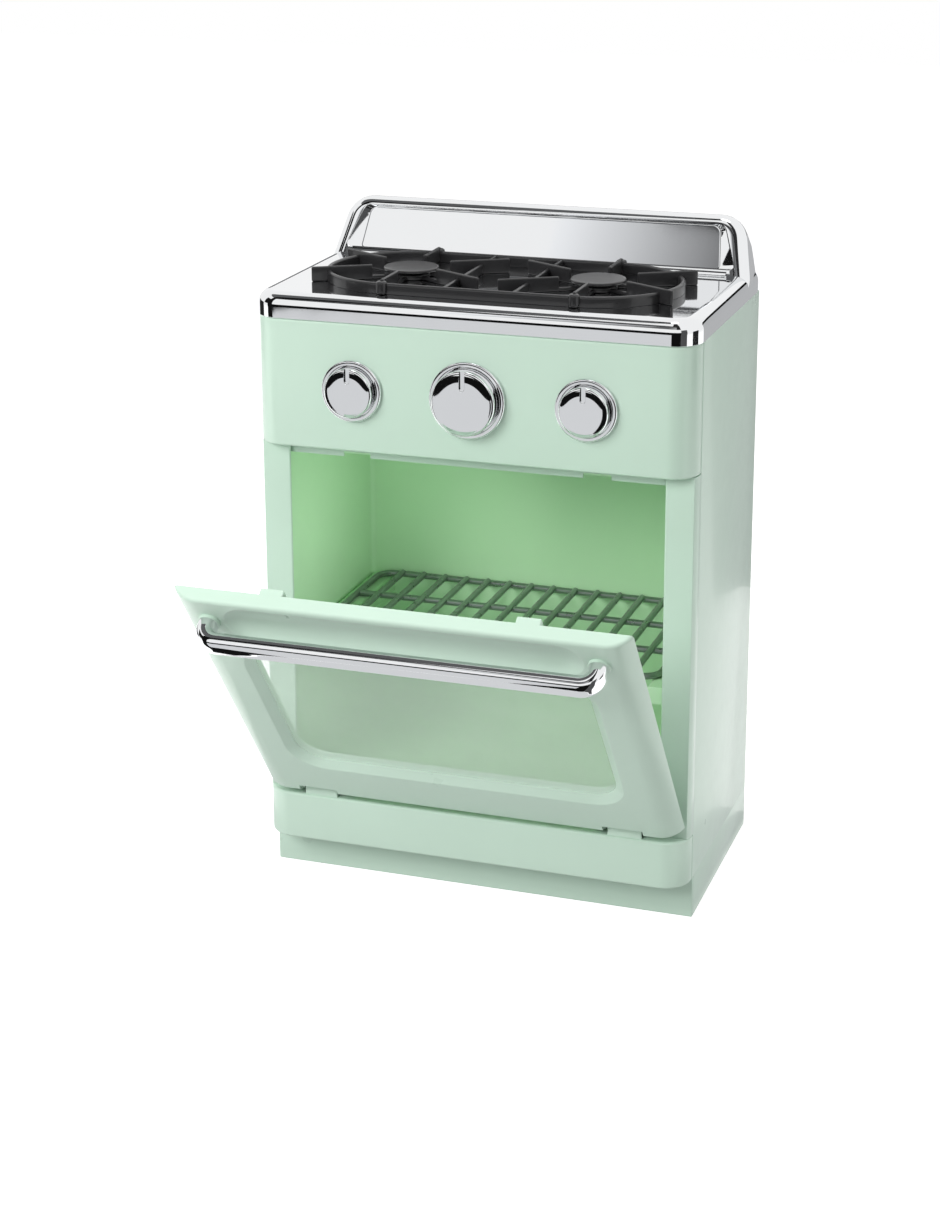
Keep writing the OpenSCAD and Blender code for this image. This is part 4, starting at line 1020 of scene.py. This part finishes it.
# The frame's front is two fields, one round the window and one round the hollow, each a ring of
# outlines that widens from the opening to the field's border
def makeDoorFrame():
    d = door
    flatX = d["half"] - d["corner"]
    across, upLow, upHigh, bends = 40, 56, 20, np.linspace(0, 1, 15)
    low, high = d["foot"] + 8, d["top"] - d["edge"]
    shape = Shape()
    # window: from its back edge over the seat and the sloping lip to the flat face
    lowSides, highSides = (across, upLow, across, upLow), (across, upHigh, across, upHigh)
    lip, deep, back = d["lip"], d["lipDeep"], d["seat"]
    slope = 1 - np.linspace(0.06, 0.86, 6)
    rows = [(lip + 0.2, back), (lip, back - 0.2), (lip, deep + 0.3), (lip - 0.2, deep - 0.1),
            *zip(lip * slope, deep * slope), (0.32, 0.16), (0.0, 0.04), (-0.4, 0.0)]
    grid = [(softOutline(windowBox(), d["windowR"], i, 8, lowSides), y) for i, y in rows]
    seat = box2(-d["linerHalf"], d["linerHalf"], d["linerLow"], d["linerHigh"])
    grid.insert(0, (softOutline(seat, d["linerR"], 0, 8, lowSides), back))
    inner = grid[-1][0]
    field = softOutline(box2(-flatX, flatX, low, d["split"]), 0.01, 0, 8, lowSides)
    grid += [(inner * (1 - u) + field * u, 0.0) for u in (0.1, 0.35, 0.7, 1.0)]
    shape.sheet(ringsAt(grid), True)
    # finger hollow: depth of a round-bottomed groove at a distance from its middle line
    ballR = (d["scoopH"] ** 2 + d["scoopDeep"] ** 2) / (2 * d["scoopDeep"])
    run = d["scoopW"] - d["scoopH"]
    rows = []
    for rho in (0.02, 3, 6, 8.5, 10.5, 12, 13, 13.8, 14.2):
        rows.append((rho, math.sqrt(ballR ** 2 - rho ** 2) - ballR + d["scoopDeep"]))
    rows += [(14.55, 0.07), (15.0, 0.0)]
    grid = []
    for rho, y in rows:
        corners = box2(-run - rho, run + rho, d["scoopZ"] - rho, d["scoopZ"] + rho)
        grid.append((softOutline(corners, rho * 0.9999, 0, 8, highSides), y))
    inner = grid[-1][0]
    field = softOutline(box2(-flatX, flatX, d["split"], high), 0.01, 0, 8, highSides)
    grid += [(inner * (1 - u) + field * u, 0.0) for u in (0.3, 1.0)]
    shape.sheet(ringsAt(grid), True)
    # round corners beside them
    z = np.concatenate([np.linspace(low, d["split"], upLow + 1),
                        np.linspace(d["split"], high, upHigh + 1)[1:]])
    flat = np.linspace(-flatX, flatX, across + 1)
    x, y = doorPlan(0, flat, bends)
    for cols in (slice(0, len(bends)), slice(-len(bends), None)):
        shape.sheet(np.stack([np.column_stack([x[cols], y[cols], np.full(len(bends), v)]) for v in z]))
    # upper and lower edges: the outline is drawn in by r(1 - sin) as it comes over by r(1 - cos)
    ends = []
    for sign, start, stop in ((1, high, d["top"]), (-1, low, d["foot"])):
        inset, drop = edgeRound(d["edge"], 8)
        band = [(i, stop - sign * v) for i, v in zip(inset[::-1], drop[::-1])]
        grid = [np.column_stack([*doorPlan(0, flat, bends), np.full(len(x), start)])] if sign < 0 else []
        grid += [np.column_stack([*doorPlan(i, flat, bends), np.full(len(x), v)]) for i, v in band]
        behind = grid[-1].copy()
        behind[:, 1] = d["thick"]
        ends.append((np.array([g[-1] for g in grid]), behind))
        shape.sheet(np.array(grid + [behind]))
    # back: from its outline to the seat of the inner panel
    (rightTop, backTop), (rightLow, backLow) = ends
    side = np.column_stack([np.full(len(z), x[-1]), np.full(len(z), d["thick"]), z])
    right = np.concatenate([rightLow[::-1], side[1:-1], rightTop])
    loop = np.concatenate([backLow[1:-1], right, backTop[::-1][1:-1], right[::-1] * (-1, 1, 1)])
    r = d["linerR"]
    core = np.column_stack([np.clip(loop[:, 0], r - d["linerHalf"], d["linerHalf"] - r),
                            np.clip(loop[:, 2], d["linerLow"] + r, d["linerHigh"] - r)])
    arm = loop[:, [0, 2]] - core
    rim = core + arm / np.linalg.norm(arm, axis=1)[:, None] * r
    shape.sheet(np.concatenate([[loop], ringsAt([(rim, d["thick"]), (rim, back)])]), True)
    # latch tabs, handle seats and hinge ears
    h = hinge
    tab, notch = d["tabW"] / 2, h["notch"] / 2
    boss = barrelProfile(d["bossR"], -d["bossH"], 1, 0.5)
    cutters = []
    for s in (-1, 1):
        x = s * d["tabX"]
        block = softBlock(x - tab, x + tab, d["thick"] - 1, d["thick"] + d["tabD"],
                          d["top"] - d["tabH"], d["top"], d["tabEdge"], 4)
        shape.sheet(block, True, (True, True))
        shape.sheet(turned(boss, (s * d["bossX"], 0, d["scoopZ"]), "y", 48), True)
        for x in (h["x"] - notch - h["ear"], h["x"] + notch):
            x0, x1 = sorted((s * x, s * (x + h["ear"])))
            ear = barrelProfile(h["earR"], x0, x1, 0.4)
            shape.sheet(turned(ear, (0, h["y"], h["z"]), "x", 32), True)
            foot = softBlock(x0, x1, h["y"] - h["earR"], d["thick"], h["z"], d["foot"] + 1, 0.3)
            shape.sheet(foot, True, (True, True))
        x = s * h["x"]
        cut = softBlock(x - notch, x + notch, -2, d["thick"] + 2, d["foot"] - 6, h["notchTop"],
                        d["notchEdge"])
        cutters.append(hangShape(Shape().sheet(cut, True, (True, True))))
    hangShape(shape).piece("doorFrame", "door", "mint_plastic", ["door_frame"], 32, cutters)


def makeWindow():
    d = door
    slab = softPrism(windowBox(d["paneInset"]), d["windowR"] - d["paneInset"], d["lipDeep"],
                     d["lipDeep"] + d["pane"], 0.2, 8, 12, 2)
    shape = hangShape(Shape().sheet(alongY(slab), True, (True, True)))
    shape.piece("doorWindow", "door", "clear_pane", ["door_window"])


# Inner panel: its section, a flat bar with soft edges, goes round between its outline and the
# window
def makeDoorLiner():
    d = door
    outer = box2(-d["linerHalf"], d["linerHalf"], d["linerLow"], d["linerHigh"])
    band = softEnds(d["linerEdge"], d["seat"], d["thick"], 4)
    rows = [(softOutline(outer, d["linerR"], 0.15 + i, 8, 16), y) for i, y in band]
    rows += [(softOutline(windowBox(), d["windowR"], d["lip"] - i, 8, 16), y) for i, y in band[::-1]]
    spots = [(x, z) for x in (-d["screwX"], d["screwX"]) for z in d["screwZ"]]
    cutters = [hangShape(pockets(spots, d["headY"]))]
    shape = hangShape(Shape().sheet(ringsAt(rows + rows[:1]), True))
    shape.piece("doorLiner", "door", "mint_plastic", ["door_liner"], 35, cutters)
    shape, bars = screwSet(spots, d["headY"], d["screwL"])
    cutters = [hangShape(recess) for recess in bars]
    hangShape(shape).piece("doorScrews", "door", "steel", ["door_screws"], 40, cutters)


handle = dict(half=109.5, z=245.5, high=13, deep=9.5, reach=13.7, bend=8, seat=2, soft=4.2)


# The bar's section is carried along a path in plan: out from one seat, round a bend, along, and back
def makeHandle():
    h = handle
    a = np.linspace(0, math.pi / 2, 15)
    x0, y0 = h["half"] - h["bend"], h["bend"] - h["reach"]
    bend = np.stack([x0 + h["bend"] * np.cos(a), y0 - h["bend"] * np.sin(a)], 1)
    start = [(h["half"], -h["seat"]), (h["half"], (y0 - h["seat"]) / 2)]
    middle = np.column_stack([np.linspace(x0, -x0, 14)[1:-1], np.full(12, -h["reach"])])
    half = np.concatenate([start, bend])
    path = np.concatenate([half, middle, half[::-1] * (-1, 1)])
    path = np.column_stack([path, np.full(len(path), h["z"])])
    section = box2(-h["deep"] / 2, h["deep"] / 2, -h["high"] / 2, h["high"] / 2)
    section = softOutline(section, h["soft"], 0, 8, 3)
    shape = hangShape(Shape().sheet(swept(path, section), True, (True, True)))
    shape.piece("doorHandle", "door", "bright_trim", ["door_handle"], 50)


makeDoorFrame()
makeWindow()
makeDoorLiner()
makeHandle()


# Every node of the frame takes the finish of its own slot
for entry in frame["record"]["subparts"]:
    node = frame["nodes"][entry["node"]]
    node.data.materials.clear()
    node.data.materials.append(finishes[entry["material_slot"]])
